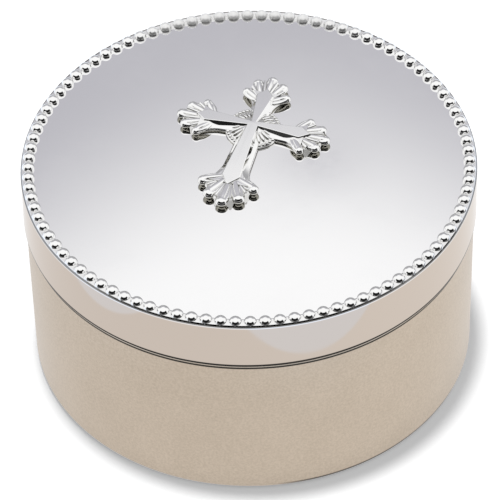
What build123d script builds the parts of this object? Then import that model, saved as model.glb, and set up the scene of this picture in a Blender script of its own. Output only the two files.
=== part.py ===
"""Rosary box: a round, silver-plated keepsake box with a lift-off lid.

Units are millimetres. The origin is at the centre of the underside, +Z is up, the foot of
the cross points to -Y (the front) and its head to +Y.

The base is a drawn cup with a flock pad under it, a collar soldered inside its mouth and a
velvet lining on card. The lid drops over the collar. It carries a ring of beads soldered
round its top edge and a cast cross held by two studs and push nuts, under a velvet lining.
"""

import os
from math import cos, radians, sin
from typing import NamedTuple

from build123d import *

os.makedirs("parts", exist_ok=True)

# ---- Lid shell ----
lid_radius = 38.0
lid_height = 9.0
lid_wall = 0.9  # sheet thickness of skirt and top
lid_edge_round = 0.1

# ---- Base shell ----
base_height = 30.0  # from the rolled foot of the wall to the mouth
base_wall = 0.8  # sheet thickness of wall and floor
base_lean = 0.55  # how much further in the wall is at its foot than at its mouth
base_mouth_round = 0.42
base_foot_round = 0.8
foot_margin = 4.2  # from the outside of the foot in to the recess pressed for the pad
foot_recess_depth = 0.9

# ---- Foot pad ----
foot_pad_proud = 0.3  # how far the pad stands below the metal
foot_pad_clearance = 0.2  # round its edge, in the recess

# ---- Locating collar ----
collar_sheet = 0.6
collar_clearance = 0.15  # all round, inside the skirt of the lid
collar_headroom = 0.6  # from the top of the collar to the lining of the lid
collar_depth = 4.5  # below the mouth, soldered to the wall
collar_lead = 0.25  # small round on the rim that guides the lid on

# ---- Base lining ----
wall_card_thickness = 0.5
wall_velvet_thickness = 0.9
floor_card_thickness = 0.8
floor_cushion_edge = 2.2  # height of the cushion at its edge
floor_cushion_crown = 1.0  # extra height in the middle
floor_cushion_round = 1.2  # round its edge
floor_lining_clearance = 0.15

# ---- Bead border ----
bead_count = 96
bead_radius = 1.1
bead_first_turn = -1.8  # degrees from +X to the first bead
bead_strip_margin = 0.1  # from the outside of the lid in to the strip
bead_strip_width = 1.9
bead_strip_lip = 0.05  # from the outside of the strip to the outside of the beads
bead_strip_thickness = 0.3
bead_sink = 0.3  # the domes start this far below the top of the strip

# ---- Lid lining ----
wadding_thickness = 1.6
lid_card_thickness = 0.8
lid_velvet_thickness = 0.6
lid_lining_clearance = 0.1
wadding_pocket_clearance = 0.4  # round each push nut

# ---- Cross ----
cross_x = -1.6  # the crossing of the arms, from the axis of the box
cross_y = 8.1
plate_thickness = 1.25  # the flat lower level of the casting
kite_height = 0.65  # each arm's raised kite, above the plate
kite_draft = 27.0  # degrees, on the sides of the kites
kite_root_half = 0.72  # half width of a kite at the crossing, at plate level
lobe_root_radius = 0.35  # radius of a fan lobe where it leaves the arm
lobe_sink = 0.1  # the root of a lobe's axis, below the top of the plate
lobe_share = 0.86  # radius of a lobe at its ball, as a share of the ball's
rosette_radius = 4.7
rosette_rim = 0.7  # width of the raised rim round the rosette
rosette_rim_height = 0.3

# ---- Studs and push nuts ----
stud_radius = 0.75
stud_length = 2.2  # below the cross, through the lid
stud_hole_clearance = 0.05
stud_head_at = 6.5  # along the head of the cross, from the crossing
stud_foot_at = 9.0  # along the foot
push_nut_radius = 2.4
push_nut_thickness = 0.5


class Fan(NamedTuple):
    """Ball centres of a five-lobed fan, measured from its middle ball."""

    ball_radius: float
    near_side: float  # sideways to the ball next to the middle one
    near_back: float  # back towards the crossing
    end_side: float  # sideways to the last ball
    end_back: float


class Arm(NamedTuple):
    """One arm of the cross, measured along itself from the crossing."""

    turn: float  # degrees anticlockwise from the head
    reach: float  # to the middle ball of its fan
    shoulder: float  # to the widest place of the kite
    point: float  # to the point of the kite
    kite_half: float  # half width of the kite at its shoulder, at plate level
    waist: float  # half width of the plate where it leaves the rosette
    waist_end: float  # half width of the plate where the fan begins
    fan_start: float
    fan: Fan


small_fan = Fan(ball_radius=0.75, near_side=2.2, near_back=1.2, end_side=3.45, end_back=3.6)
foot_fan = Fan(ball_radius=0.85, near_side=2.6, near_back=1.35, end_side=4.4, end_back=4.1)

head_arm = Arm(
    turn=0, reach=11.6, shoulder=7.0, point=8.6, kite_half=1.85,
    waist=1.75, waist_end=1.95, fan_start=6.0, fan=small_fan,
)
side_arm = Arm(
    turn=90, reach=12.6, shoulder=8.2, point=9.8, kite_half=1.85,
    waist=1.75, waist_end=1.95, fan_start=6.8, fan=small_fan,
)
foot_arm = Arm(
    turn=180, reach=18.7, shoulder=13.1, point=15.0, kite_half=1.9,
    waist=1.9, waist_end=2.8, fan_start=12.6, fan=foot_fan,
)
arms = (head_arm, side_arm, side_arm._replace(turn=-side_arm.turn), foot_arm)

# ---- Levels, from the surface that the box stands on ----
base_bottom_z = foot_pad_proud
mouth_z = base_bottom_z + base_height
edge_floor_z = base_bottom_z + base_wall
pressed_floor_z = edge_floor_z + foot_recess_depth
collar_bottom_z = mouth_z - collar_depth
floor_card_top_z = pressed_floor_z + floor_card_thickness
cushion_edge_z = floor_card_top_z + floor_cushion_edge
lid_top_z = mouth_z + lid_height
lid_ceiling_z = lid_top_z - lid_wall
wadding_bottom_z = lid_ceiling_z - wadding_thickness
lid_card_bottom_z = wadding_bottom_z - lid_card_thickness
lid_lining_z = lid_card_bottom_z - lid_velvet_thickness
collar_top_z = lid_lining_z - collar_headroom
plate_top_z = lid_top_z + plate_thickness
lobe_root_z = plate_top_z - lobe_sink

# ---- Radii that follow from the sizes above ----
lid_inner_radius = lid_radius - lid_wall
lid_lining_radius = lid_inner_radius - lid_lining_clearance
lid_card_radius = lid_lining_radius - lid_velvet_thickness
collar_radius = lid_inner_radius - collar_clearance
collar_inner_radius = collar_radius - collar_sheet
base_mouth_radius = collar_radius + base_wall
base_foot_radius = base_mouth_radius - base_lean
foot_recess_radius = base_foot_radius - foot_margin
bead_strip_outer_radius = lid_radius - bead_strip_margin
bead_strip_inner_radius = bead_strip_outer_radius - bead_strip_width
bead_circle_radius = bead_strip_outer_radius - bead_strip_lip - bead_radius
stud_places = [
    (cross_x, cross_y + stud_head_at),
    (cross_x, cross_y - stud_foot_at),
]


def base_outer_radius(z):
    """Radius of the outside of the leaning wall at a height."""
    return base_foot_radius + base_lean * (z - base_bottom_z) / base_height


def wall_radius(z, depth):
    """Radius at a height of a face that lies a depth inside the wall's outside."""
    return base_outer_radius(z) - depth


def fan_balls(arm):
    """Centres of an arm's five balls, as (across, along) from the crossing."""
    fan = arm.fan
    return [
        (-fan.end_side, arm.reach - fan.end_back),
        (-fan.near_side, arm.reach - fan.near_back),
        (0, arm.reach),
        (fan.near_side, arm.reach - fan.near_back),
        (fan.end_side, arm.reach - fan.end_back),
    ]


def arm_plane(arm, z):
    """Plane at a height whose Y axis runs out along an arm from the crossing."""
    turn = radians(arm.turn)
    across = (cos(turn), sin(turn), 0)
    return Plane(origin=(cross_x, cross_y, z), x_dir=across, z_dir=(0, 0, 1))


def arm_point(arm, across, along, z):
    """Point at a height, across and along an arm from the crossing."""
    return arm_plane(arm, z).from_local_coords(Vector(across, along, 0))


# ==== Base ====

wall_card_depth = base_wall + wall_card_thickness
wall_lining_depth = wall_card_depth + wall_velvet_thickness
wall_card_top_z = collar_bottom_z - wall_velvet_thickness
floor_lining_radius = wall_radius(edge_floor_z, wall_lining_depth) - floor_lining_clearance

# Drawn cup with a leaning wall; the middle of its floor is pressed up by foot_recess_depth.
with BuildPart() as base_shell:
    with BuildSketch(Plane.XZ) as profile:
        with BuildLine():
            Polyline(
                (0, pressed_floor_z - base_wall),
                (foot_recess_radius, pressed_floor_z - base_wall),
                (foot_recess_radius, base_bottom_z),
                (base_foot_radius, base_bottom_z),
                (base_mouth_radius, mouth_z),
                (wall_radius(mouth_z, base_wall), mouth_z),
                (wall_radius(edge_floor_z, base_wall), edge_floor_z),
                (foot_recess_radius + base_wall, edge_floor_z),
                (foot_recess_radius + base_wall, pressed_floor_z),
                (0, pressed_floor_z),
                close=True,
            )
        make_face()
        foot_corner = profile.vertices().group_by(Axis.Y)[0].sort_by(Axis.X)[-1]
        fillet(foot_corner, radius=base_foot_round)
        mouth_corner = profile.vertices().group_by(Axis.Y)[-1].sort_by(Axis.X)[-1]
        fillet(mouth_corner, radius=base_mouth_round)
    revolve(axis=Axis.Z)
base_shell.part.label = "base_shell"
export_step(base_shell.part, "parts/base_shell.step")

# Flock pad in the recess: the flat face that the whole box stands on.
with BuildPart() as foot_pad:
    with BuildSketch(Plane.XY):
        Circle(foot_recess_radius - foot_pad_clearance)
    extrude(amount=foot_pad_proud + foot_recess_depth)
foot_pad.part.label = "foot_pad"
export_step(foot_pad.part, "parts/foot_pad.step")

# Collar inside the mouth: straight above the mouth, leaning with the wall below it.
with BuildPart() as locating_collar:
    with BuildSketch(Plane.XZ) as profile:
        with BuildLine():
            Polyline(
                (wall_radius(collar_bottom_z, base_wall), collar_bottom_z),
                (collar_radius, mouth_z),
                (collar_radius, collar_top_z),
                (collar_inner_radius, collar_top_z),
                (collar_inner_radius, mouth_z),
                (wall_radius(collar_bottom_z, base_wall + collar_sheet), collar_bottom_z),
                close=True,
            )
        make_face()
        fillet(profile.vertices().sort_by(Axis.Y)[-2:], radius=collar_lead)
    revolve(axis=Axis.Z)
locating_collar.part.label = "locating_collar"
export_step(locating_collar.part, "parts/locating_collar.step")

# Card strip bent round the inside of the wall, standing on the edge of the floor.
with BuildPart() as wall_card:
    with BuildSketch(Plane.XZ):
        with BuildLine():
            Polyline(
                (wall_radius(edge_floor_z, base_wall), edge_floor_z),
                (wall_radius(wall_card_top_z, base_wall), wall_card_top_z),
                (wall_radius(wall_card_top_z, wall_card_depth), wall_card_top_z),
                (wall_radius(edge_floor_z, wall_card_depth), edge_floor_z),
                close=True,
            )
        make_face()
    revolve(axis=Axis.Z)
wall_card.part.label = "wall_card"
export_step(wall_card.part, "parts/wall_card.step")

# Velvet glued to the card and turned over its top edge, up to the collar.
with BuildPart() as wall_velvet:
    with BuildSketch(Plane.XZ):
        with BuildLine():
            Polyline(
                (wall_radius(edge_floor_z, wall_card_depth), edge_floor_z),
                (wall_radius(wall_card_top_z, wall_card_depth), wall_card_top_z),
                (wall_radius(wall_card_top_z, base_wall), wall_card_top_z),
                (wall_radius(collar_bottom_z, base_wall), collar_bottom_z),
                (wall_radius(collar_bottom_z, wall_card_depth), collar_bottom_z),
                (wall_radius(wall_card_top_z, wall_lining_depth), wall_card_top_z),
                (wall_radius(edge_floor_z, wall_lining_depth), edge_floor_z),
                close=True,
            )
        make_face()
    revolve(axis=Axis.Z)
wall_velvet.part.label = "wall_velvet"
export_step(wall_velvet.part, "parts/wall_velvet.step")

# Card disc glued to the pressed-up floor.
with BuildPart() as floor_card:
    with BuildSketch(Plane.XY.offset(pressed_floor_z)):
        Circle(floor_lining_radius)
    extrude(amount=floor_card_thickness)
floor_card.part.label = "floor_card"
export_step(floor_card.part, "parts/floor_card.step")

# Velvet cushion on the floor card: a disc with a rounded edge and a crowned top.
crown_radius = (floor_lining_radius**2 + floor_cushion_crown**2) / (2 * floor_cushion_crown)
with BuildPart() as floor_cushion:
    with BuildSketch(Plane.XZ) as profile:
        with BuildLine():
            Polyline(
                (0, cushion_edge_z + floor_cushion_crown),
                (0, floor_card_top_z),
                (floor_lining_radius, floor_card_top_z),
                (floor_lining_radius, cushion_edge_z),
            )
            RadiusArc(
                (floor_lining_radius, cushion_edge_z),
                (0, cushion_edge_z + floor_cushion_crown),
                -crown_radius,
            )
        make_face()
        rim_corner = profile.vertices().group_by(Axis.X)[-1].sort_by(Axis.Y)[-1]
        fillet(rim_corner, radius=floor_cushion_round)
    revolve(axis=Axis.Z)
floor_cushion.part.label = "floor_cushion"
export_step(floor_cushion.part, "parts/floor_cushion.step")

# ==== Lid ====

# Drawn lid: flat top and straight skirt, with two holes for the studs of the cross.
with BuildPart() as lid_shell:
    with BuildSketch(Plane.XZ) as profile:
        with BuildLine():
            Polyline(
                (0, lid_ceiling_z),
                (lid_inner_radius, lid_ceiling_z),
                (lid_inner_radius, mouth_z),
                (lid_radius, mouth_z),
                (lid_radius, lid_top_z),
                (0, lid_top_z),
                close=True,
            )
        make_face()
        top_corner = profile.vertices().group_by(Axis.Y)[-1].sort_by(Axis.X)[-1]
        fillet(top_corner, radius=lid_edge_round)
    revolve(axis=Axis.Z)
    with BuildSketch(Plane.XY.offset(lid_top_z)):
        with Locations(*stud_places):
            Circle(stud_radius + stud_hole_clearance)
    extrude(amount=-2 * lid_wall, mode=Mode.SUBTRACT)
lid_shell.part.label = "lid_shell"
export_step(lid_shell.part, "parts/lid_shell.step")

# Ring of half-round beads struck in one strip, soldered round the edge of the lid's top.
with BuildPart() as bead_border:
    with BuildSketch(Plane.XY.offset(lid_top_z)):
        Circle(bead_strip_outer_radius)
        Circle(bead_strip_inner_radius, mode=Mode.SUBTRACT)
    extrude(amount=bead_strip_thickness)
    with Locations(Plane.XY.offset(lid_top_z + bead_strip_thickness - bead_sink)):
        with PolarLocations(bead_circle_radius, bead_count, start_angle=bead_first_turn):
            Sphere(bead_radius, arc_size1=0, align=(Align.CENTER, Align.CENTER, Align.MIN))
bead_border.part.label = "bead_border"
export_step(bead_border.part, "parts/bead_border.step")

# Cast cross: a flat plate, a raised kite on each arm, a fan of five balled lobes at each
# end, a rosette behind the crossing and two studs under it.
with BuildPart() as cross:
    with BuildSketch(Plane((cross_x, cross_y, lid_top_z))):
        Circle(rosette_radius)
    extrude(amount=plate_thickness)
    with BuildSketch(Plane((cross_x, cross_y, plate_top_z))):
        Circle(rosette_radius)
        Circle(rosette_radius - rosette_rim, mode=Mode.SUBTRACT)
    extrude(amount=rosette_rim_height)
    for arm in arms:
        balls = fan_balls(arm)
        with BuildSketch(arm_plane(arm, lid_top_z)):
            Polygon(
                (-arm.waist, 0),
                (arm.waist, 0),
                (arm.waist_end, arm.fan_start),
                *reversed(balls),
                (-arm.waist_end, arm.fan_start),
                align=None,
            )
        extrude(amount=plate_thickness)
        with BuildSketch(arm_plane(arm, plate_top_z)):
            Polygon(
                (-kite_root_half, 0),
                (kite_root_half, 0),
                (arm.kite_half, arm.shoulder),
                (0, arm.point),
                (-arm.kite_half, arm.shoulder),
                align=None,
            )
        extrude(amount=kite_height, taper=kite_draft)
        root = arm_point(arm, 0, arm.fan_start, lobe_root_z)
        for across, along in balls:
            end = arm_point(arm, across, along, lid_top_z + arm.fan.ball_radius)
            run = end - root
            with Locations(Plane(root, z_dir=run)):
                Cone(
                    lobe_root_radius,
                    lobe_share * arm.fan.ball_radius,
                    run.length,
                    align=(Align.CENTER, Align.CENTER, Align.MIN),
                )
            with Locations(Plane(end, z_dir=run)):
                Sphere(arm.fan.ball_radius)
    with BuildSketch(Plane.XY.offset(lid_top_z)):
        with Locations(*stud_places):
            Circle(stud_radius)
    extrude(amount=-stud_length)
cross.part.label = "cross"
export_step(cross.part, "parts/cross.step")

# Two spring-steel push nuts, pressed up the studs to the underside of the lid.
with BuildPart() as push_nuts:
    with BuildSketch(Plane.XY.offset(lid_ceiling_z)):
        with Locations(*stud_places):
            Circle(push_nut_radius)
            Circle(stud_radius, mode=Mode.SUBTRACT)
    extrude(amount=-push_nut_thickness)
push_nuts.part.label = "push_nuts"
export_step(push_nuts.part, "parts/push_nuts.step")

# Wadding under the lid's top, cut away round the push nuts.
with BuildPart() as lid_wadding:
    with BuildSketch(Plane.XY.offset(lid_ceiling_z)):
        Circle(lid_card_radius)
        with Locations(*stud_places):
            Circle(push_nut_radius + wadding_pocket_clearance, mode=Mode.SUBTRACT)
    extrude(amount=-wadding_thickness)
lid_wadding.part.label = "lid_wadding"
export_step(lid_wadding.part, "parts/lid_wadding.step")

# Card disc that holds the wadding up.
with BuildPart() as lid_card:
    with BuildSketch(Plane.XY.offset(wadding_bottom_z)):
        Circle(lid_card_radius)
    extrude(amount=-lid_card_thickness)
lid_card.part.label = "lid_card"
export_step(lid_card.part, "parts/lid_card.step")

# Velvet under the card, turned up round its edge and the wadding's.
with BuildPart() as lid_velvet:
    with BuildSketch(Plane.XZ) as profile:
        with BuildLine():
            Polyline(
                (0, lid_card_bottom_z),
                (lid_card_radius, lid_card_bottom_z),
                (lid_card_radius, lid_ceiling_z),
                (lid_lining_radius, lid_ceiling_z),
                (lid_lining_radius, lid_lining_z),
                (0, lid_lining_z),
                close=True,
            )
        make_face()
        lower_corner = profile.vertices().group_by(Axis.Y)[0].sort_by(Axis.X)[-1]
        fillet(lower_corner, radius=lid_velvet_thickness / 2)
    revolve(axis=Axis.Z)
lid_velvet.part.label = "lid_velvet"
export_step(lid_velvet.part, "parts/lid_velvet.step")
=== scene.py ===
"""Looks of a round, silver-plated rosary box with a lift-off lid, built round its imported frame.

The classes hold their sizes in millimetres and the meshes are in metres, in the frame's own
axes: the origin is at the centre of the underside, +Z is up, and the foot of the cross points
to -Y.
"""

import logging
import math
from collections.abc import Callable, Sequence
from dataclasses import dataclass, field, replace
from enum import Enum
from typing import NamedTuple

import bmesh
import bpy
from mathutils import Matrix, Vector


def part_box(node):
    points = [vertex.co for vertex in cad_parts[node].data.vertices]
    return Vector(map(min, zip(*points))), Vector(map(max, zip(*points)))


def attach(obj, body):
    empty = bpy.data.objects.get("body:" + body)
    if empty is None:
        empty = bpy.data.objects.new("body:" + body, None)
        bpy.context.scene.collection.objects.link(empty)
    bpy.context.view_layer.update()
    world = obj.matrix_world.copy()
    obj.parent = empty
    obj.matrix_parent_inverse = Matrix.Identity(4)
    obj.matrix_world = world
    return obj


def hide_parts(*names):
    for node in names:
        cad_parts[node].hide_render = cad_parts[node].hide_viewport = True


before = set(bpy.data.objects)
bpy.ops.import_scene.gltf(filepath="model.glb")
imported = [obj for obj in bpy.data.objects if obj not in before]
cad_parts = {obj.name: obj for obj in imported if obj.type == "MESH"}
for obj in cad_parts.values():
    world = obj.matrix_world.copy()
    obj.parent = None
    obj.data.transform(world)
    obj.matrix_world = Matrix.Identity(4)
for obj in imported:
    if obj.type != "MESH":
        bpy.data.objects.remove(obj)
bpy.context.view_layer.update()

MM = 0.001  # metres in a millimetre
SHARP = 38.0  # degrees over which an edge stays sharp
CHASED = 22.5  # the same for the finer edges of the cross
log = logging.getLogger("rosary_box")

Colour = tuple[float, float, float]


class Body(Enum):
    """The two bodies that move apart."""

    BASE = "base"
    LID = "lid"


class Finish(Enum):
    """Material slots of the record."""

    BASE_PLATE = "base_plate"
    LID_PLATE = "lid_plate"
    BEAD_PLATE = "bead_plate"
    CROSS_PLATE = "cross_plate"
    COLLAR_GILT = "collar_gilt"
    SPRING_STEEL = "spring_steel"
    VELVET = "lining_velvet"
    FLOCK = "foot_flock"
    CARD = "card"
    WADDING = "wadding"


# ---------------------------------------------------------------------------
# Meshes
# ---------------------------------------------------------------------------


class Span(NamedTuple):
    """Lowest and highest corner of a CAD node, in millimetres."""

    low: Vector
    high: Vector

    @property
    def radius(self) -> float:
        """Outer radius of a node that is round about the box's axis."""
        return self.high.x


def span(node: str) -> Span:
    """Reads the lowest and highest corner of a CAD node, in millimetres."""
    low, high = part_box(node)
    return Span(low / MM, high / MM)


class Corner(NamedTuple):
    """A corner of a turned outline, in millimetres."""

    radius: float
    height: float
    rounding: float = 0.0


def rounded(corners: Sequence[Corner], steps: int = 8, margin: float = 0.04) -> list[Vector]:
    """Turns corners into an outline with its roundings as arcs.

    Args:
        corners: The corners in order.
        steps: Flat steps in each arc.
        margin: Distance from an arc to a support point, which keeps flat faces flat.

    Returns:
        Points (radius, height) in millimetres.
    """
    points: list[Vector] = []
    for place, corner in enumerate(corners):
        here = Vector((corner.radius, corner.height))
        if not corner.rounding:
            points.append(here)
            continue
        last, following = corners[place - 1], corners[(place + 1) % len(corners)]
        back = (Vector(last[:2]) - here).normalized()
        ahead = (Vector(following[:2]) - here).normalized()
        half = back.angle(ahead) / 2
        reach = corner.rounding / math.tan(half)
        centre = here + (back + ahead).normalized() * (corner.rounding / math.sin(half))
        start = here + back * reach - centre
        end = here + ahead * reach - centre
        points.append(here + back * (reach + margin))
        turns = [start.slerp(end, step / steps).normalized() for step in range(steps + 1)]
        points += [centre + turn * corner.rounding for turn in turns]
        points.append(here + ahead * (reach + margin))
    return points


def finish_mesh(shape: bmesh.types.BMesh, name: str, sharp: float = SHARP) -> bpy.types.Object:
    """Makes a linked object of a shape in millimetres.

    Args:
        shape: The shape, which is freed.
        name: The object's name.
        sharp: Edges that turn by more degrees than this stay sharp.

    Returns:
        The object, at the origin, with outward faces.
    """
    bmesh.ops.scale(shape, vec=(MM, MM, MM), verts=shape.verts)
    bmesh.ops.recalc_face_normals(shape, faces=shape.faces)
    mesh = bpy.data.meshes.new(name)
    shape.to_mesh(mesh)
    shape.free()
    smooth(mesh, sharp)
    made = bpy.data.objects.new(name, mesh)
    bpy.context.scene.collection.objects.link(made)
    return made


def smooth(mesh: bpy.types.Mesh, sharp: float) -> None:
    """Shades a mesh smooth, apart from edges that turn by more degrees than sharp."""
    mesh.shade_smooth()
    mesh.set_sharp_from_angle(angle=math.radians(sharp))


def evaluated(source: bpy.types.Object, name: str) -> bpy.types.Object:
    """Replaces an object by a plain mesh of its evaluated result.

    Args:
        source: The object, whose modifiers are applied. It is removed.
        name: The new object's name.

    Returns:
        The new object, with no modifiers.
    """
    depsgraph = bpy.context.evaluated_depsgraph_get()
    mesh = bpy.data.meshes.new_from_object(source.evaluated_get(depsgraph))
    bpy.data.objects.remove(source)
    mesh.name = name
    made = bpy.data.objects.new(name, mesh)
    bpy.context.scene.collection.objects.link(made)
    return made


def lathe(name: str, outline: Sequence[Vector], segments: int = 384) -> bpy.types.Object:
    """Turns an outline round the box's axis.

    Args:
        name: The object's name.
        outline: Points (radius, height). It is closed, or starts and ends on the axis.
        segments: Faces round the axis.

    Returns:
        A closed shell.
    """
    shape = bmesh.new()
    turns = [math.tau * k / segments for k in range(segments)]
    rings = []
    for radius, height in outline:
        if radius < 1e-6:
            rings.append([shape.verts.new((0, 0, height))] * segments)
            continue
        rings.append(
            [shape.verts.new((radius * math.cos(a), radius * math.sin(a), height)) for a in turns]
        )
    open_ended = outline[0][0] < 1e-6
    for lower, upper in zip(rings, rings[1:] if open_ended else rings[1:] + rings[:1]):
        for k in range(segments):
            after = (k + 1) % segments
            ring = [lower[k], lower[after], upper[after], upper[k]]
            shape.faces.new(list(dict.fromkeys(ring)))
    return finish_mesh(shape, name)


def prism(shape: bmesh.types.BMesh, levels: Sequence[Sequence[Vector]]) -> None:
    """Adds a closed solid that runs through several rings of as many points each.

    Args:
        shape: Where the solid is added.
        levels: The rings, in order.
    """
    rings = [[shape.verts.new(point) for point in level] for level in levels]
    for lower, upper in zip(rings, rings[1:]):
        for k in range(len(lower)):
            after = (k + 1) % len(lower)
            shape.faces.new((lower[k], lower[after], upper[after], upper[k]))
    shape.faces.new(rings[0][::-1])
    shape.faces.new(rings[-1])


def dress(
    piece: bpy.types.Object,
    body: Body,
    finish: Finish,
    finishes: "Finishes",
    *nodes: str,
) -> bpy.types.Object:
    """Gives a piece its material and ties it to the frame.

    Args:
        piece: The finished piece.
        body: The body that it rides on.
        finish: The record's slot for its material.
        finishes: The materials.
        nodes: CAD nodes that it stands for.

    Returns:
        The piece.
    """
    piece.data.materials.clear()
    piece.data.materials.append(finishes[finish])
    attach(piece, body.value)
    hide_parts(*nodes)
    log.info("%s: %d faces, on %s", piece.name, len(piece.data.polygons), body.value)
    return piece


def repaint(node: str, material: bpy.types.Material) -> None:
    """Gives a CAD node that stays another material.

    Args:
        node: The node's name.
        material: The material for all of its slots.
    """
    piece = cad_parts[node]
    if not piece.material_slots:
        piece.data.materials.append(material)
    for place in piece.material_slots:
        place.material = material
    log.info("%s: repainted as %s", node, material.name)


# ---------------------------------------------------------------------------
# Node trees
# ---------------------------------------------------------------------------


class Graph:
    """Adds nodes to a tree and links them in one call."""

    def __init__(self, tree: bpy.types.NodeTree) -> None:
        """Keeps the tree."""
        self.tree = tree

    def add(self, kind: str, inputs: dict | None = None, **settings: object) -> bpy.types.Node:
        """Adds a node.

        Args:
            kind: The node's type.
            inputs: A value or an output socket for each input, by name or number.
            settings: The node's own properties.

        Returns:
            The node.
        """
        node = self.tree.nodes.new(kind)
        for key, value in settings.items():
            setattr(node, key, value)  # first, because a group's tree gives it its sockets
        for key, value in (inputs or {}).items():
            if isinstance(value, bpy.types.NodeSocket):
                self.tree.links.new(value, node.inputs[key])
            else:
                node.inputs[key].default_value = value
        return node

    def math(self, operation: str, *values: object) -> bpy.types.NodeSocket:
        """Adds a Math node and returns its output."""
        return self.add("ShaderNodeMath", dict(enumerate(values)), operation=operation).outputs[0]

    def ramp(
        self, value: object, low: float, high: float, to_low: float = 0.0, to_high: float = 1.0
    ) -> bpy.types.NodeSocket:
        """Maps a value smoothly from one range to another.

        Args:
            value: The value's socket.
            low: Where the change starts.
            high: Where it ends.
            to_low: The result at low.
            to_high: The result at high.

        Returns:
            The result's socket.
        """
        if low > high:
            low, high, to_low, to_high = high, low, to_high, to_low
        settings = {0: value, 1: low, 2: high, 3: to_low, 4: to_high}
        node = self.add("ShaderNodeMapRange", settings, interpolation_type="SMOOTHSTEP")
        return node.outputs[0]

    def mix(self, share: object, first: object, second: object) -> bpy.types.NodeSocket:
        """Mixes two colours.

        Args:
            share: How much of the second there is.
            first: A colour or its socket.
            second: A colour or its socket.

        Returns:
            The result's socket.
        """
        inputs = {0: share}
        for place, colour in ((6, first), (7, second)):
            inputs[place] = (*colour, 1.0) if isinstance(colour, tuple) else colour
        return self.add("ShaderNodeMix", inputs, data_type="RGBA").outputs[2]

    def place(self) -> bpy.types.NodeSocket:
        """Returns the Object coordinates, in metres."""
        return self.add("ShaderNodeTexCoord").outputs["Object"]

    def height(self) -> bpy.types.NodeSocket:
        """Returns the height above the surface that the box stands on, in metres."""
        return self.add("ShaderNodeSeparateXYZ", {0: self.place()}).outputs["Z"]

    def turned(self, vector: bpy.types.NodeSocket, turn: float) -> bpy.types.NodeOutputs:
        """Turns a vector about +Z and splits it.

        Args:
            vector: The vector's socket.
            turn: How far, in degrees anticlockwise.

        Returns:
            The sockets X, Y and Z.
        """
        inputs = {"Vector": vector, "Axis": (0.0, 0.0, 1.0), "Angle": math.radians(turn)}
        made = self.add("ShaderNodeVectorRotate", inputs, rotation_type="AXIS_ANGLE")
        return self.add("ShaderNodeSeparateXYZ", {0: made.outputs[0]}).outputs

    def reach(self) -> bpy.types.NodeSocket:
        """Returns the distance from the box's axis, in metres.

        Returns:
            The distance's socket, in metres.
        """
        flat = {0: self.place(), 1: (1.0, 1.0, 0.0)}
        level = self.add("ShaderNodeVectorMath", flat, operation="MULTIPLY")
        sizes = {0: level.outputs[0]}
        return self.add("ShaderNodeVectorMath", sizes, operation="LENGTH").outputs["Value"]

    def along(self, turn: float) -> bpy.types.NodeSocket:
        """Finds how far a place lies from the axis in one direction.

        Args:
            turn: Degrees from +Y, anticlockwise from above.

        Returns:
            The distance, in metres.
        """
        angle = math.radians(turn)
        sizes = {0: self.place(), 1: (-math.sin(angle), math.cos(angle), 0.0)}
        return self.add("ShaderNodeVectorMath", sizes, operation="DOT_PRODUCT").outputs["Value"]


class Socket(NamedTuple):
    """An input or output of a node group."""

    name: str
    kind: str = "NodeSocketFloat"
    value: float | None = None


VECTOR = "NodeSocketVector"


def shader_group(
    name: str,
    inputs: Sequence[Socket],
    outputs: Sequence[str],
    build: Callable[[Graph, bpy.types.Node], Sequence[bpy.types.NodeSocket]],
) -> bpy.types.NodeTree:
    """Builds a shader node group.

    Args:
        name: The group's name.
        inputs: Its inputs.
        outputs: Names of its value outputs.
        build: Adds the group's nodes and returns one socket for each output.

    Returns:
        The group.
    """
    tree = bpy.data.node_groups.new(name, "ShaderNodeTree")
    for socket in inputs:
        made = tree.interface.new_socket(socket.name, in_out="INPUT", socket_type=socket.kind)
        if socket.value is not None:
            made.default_value = socket.value
    for output in outputs:
        tree.interface.new_socket(output, in_out="OUTPUT", socket_type="NodeSocketFloat")
    graph = Graph(tree)
    source = graph.add("NodeGroupInput")
    target = graph.add("NodeGroupOutput")
    for place, socket in enumerate(build(graph, source)):
        tree.links.new(socket, target.inputs[place])
    return tree


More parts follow.
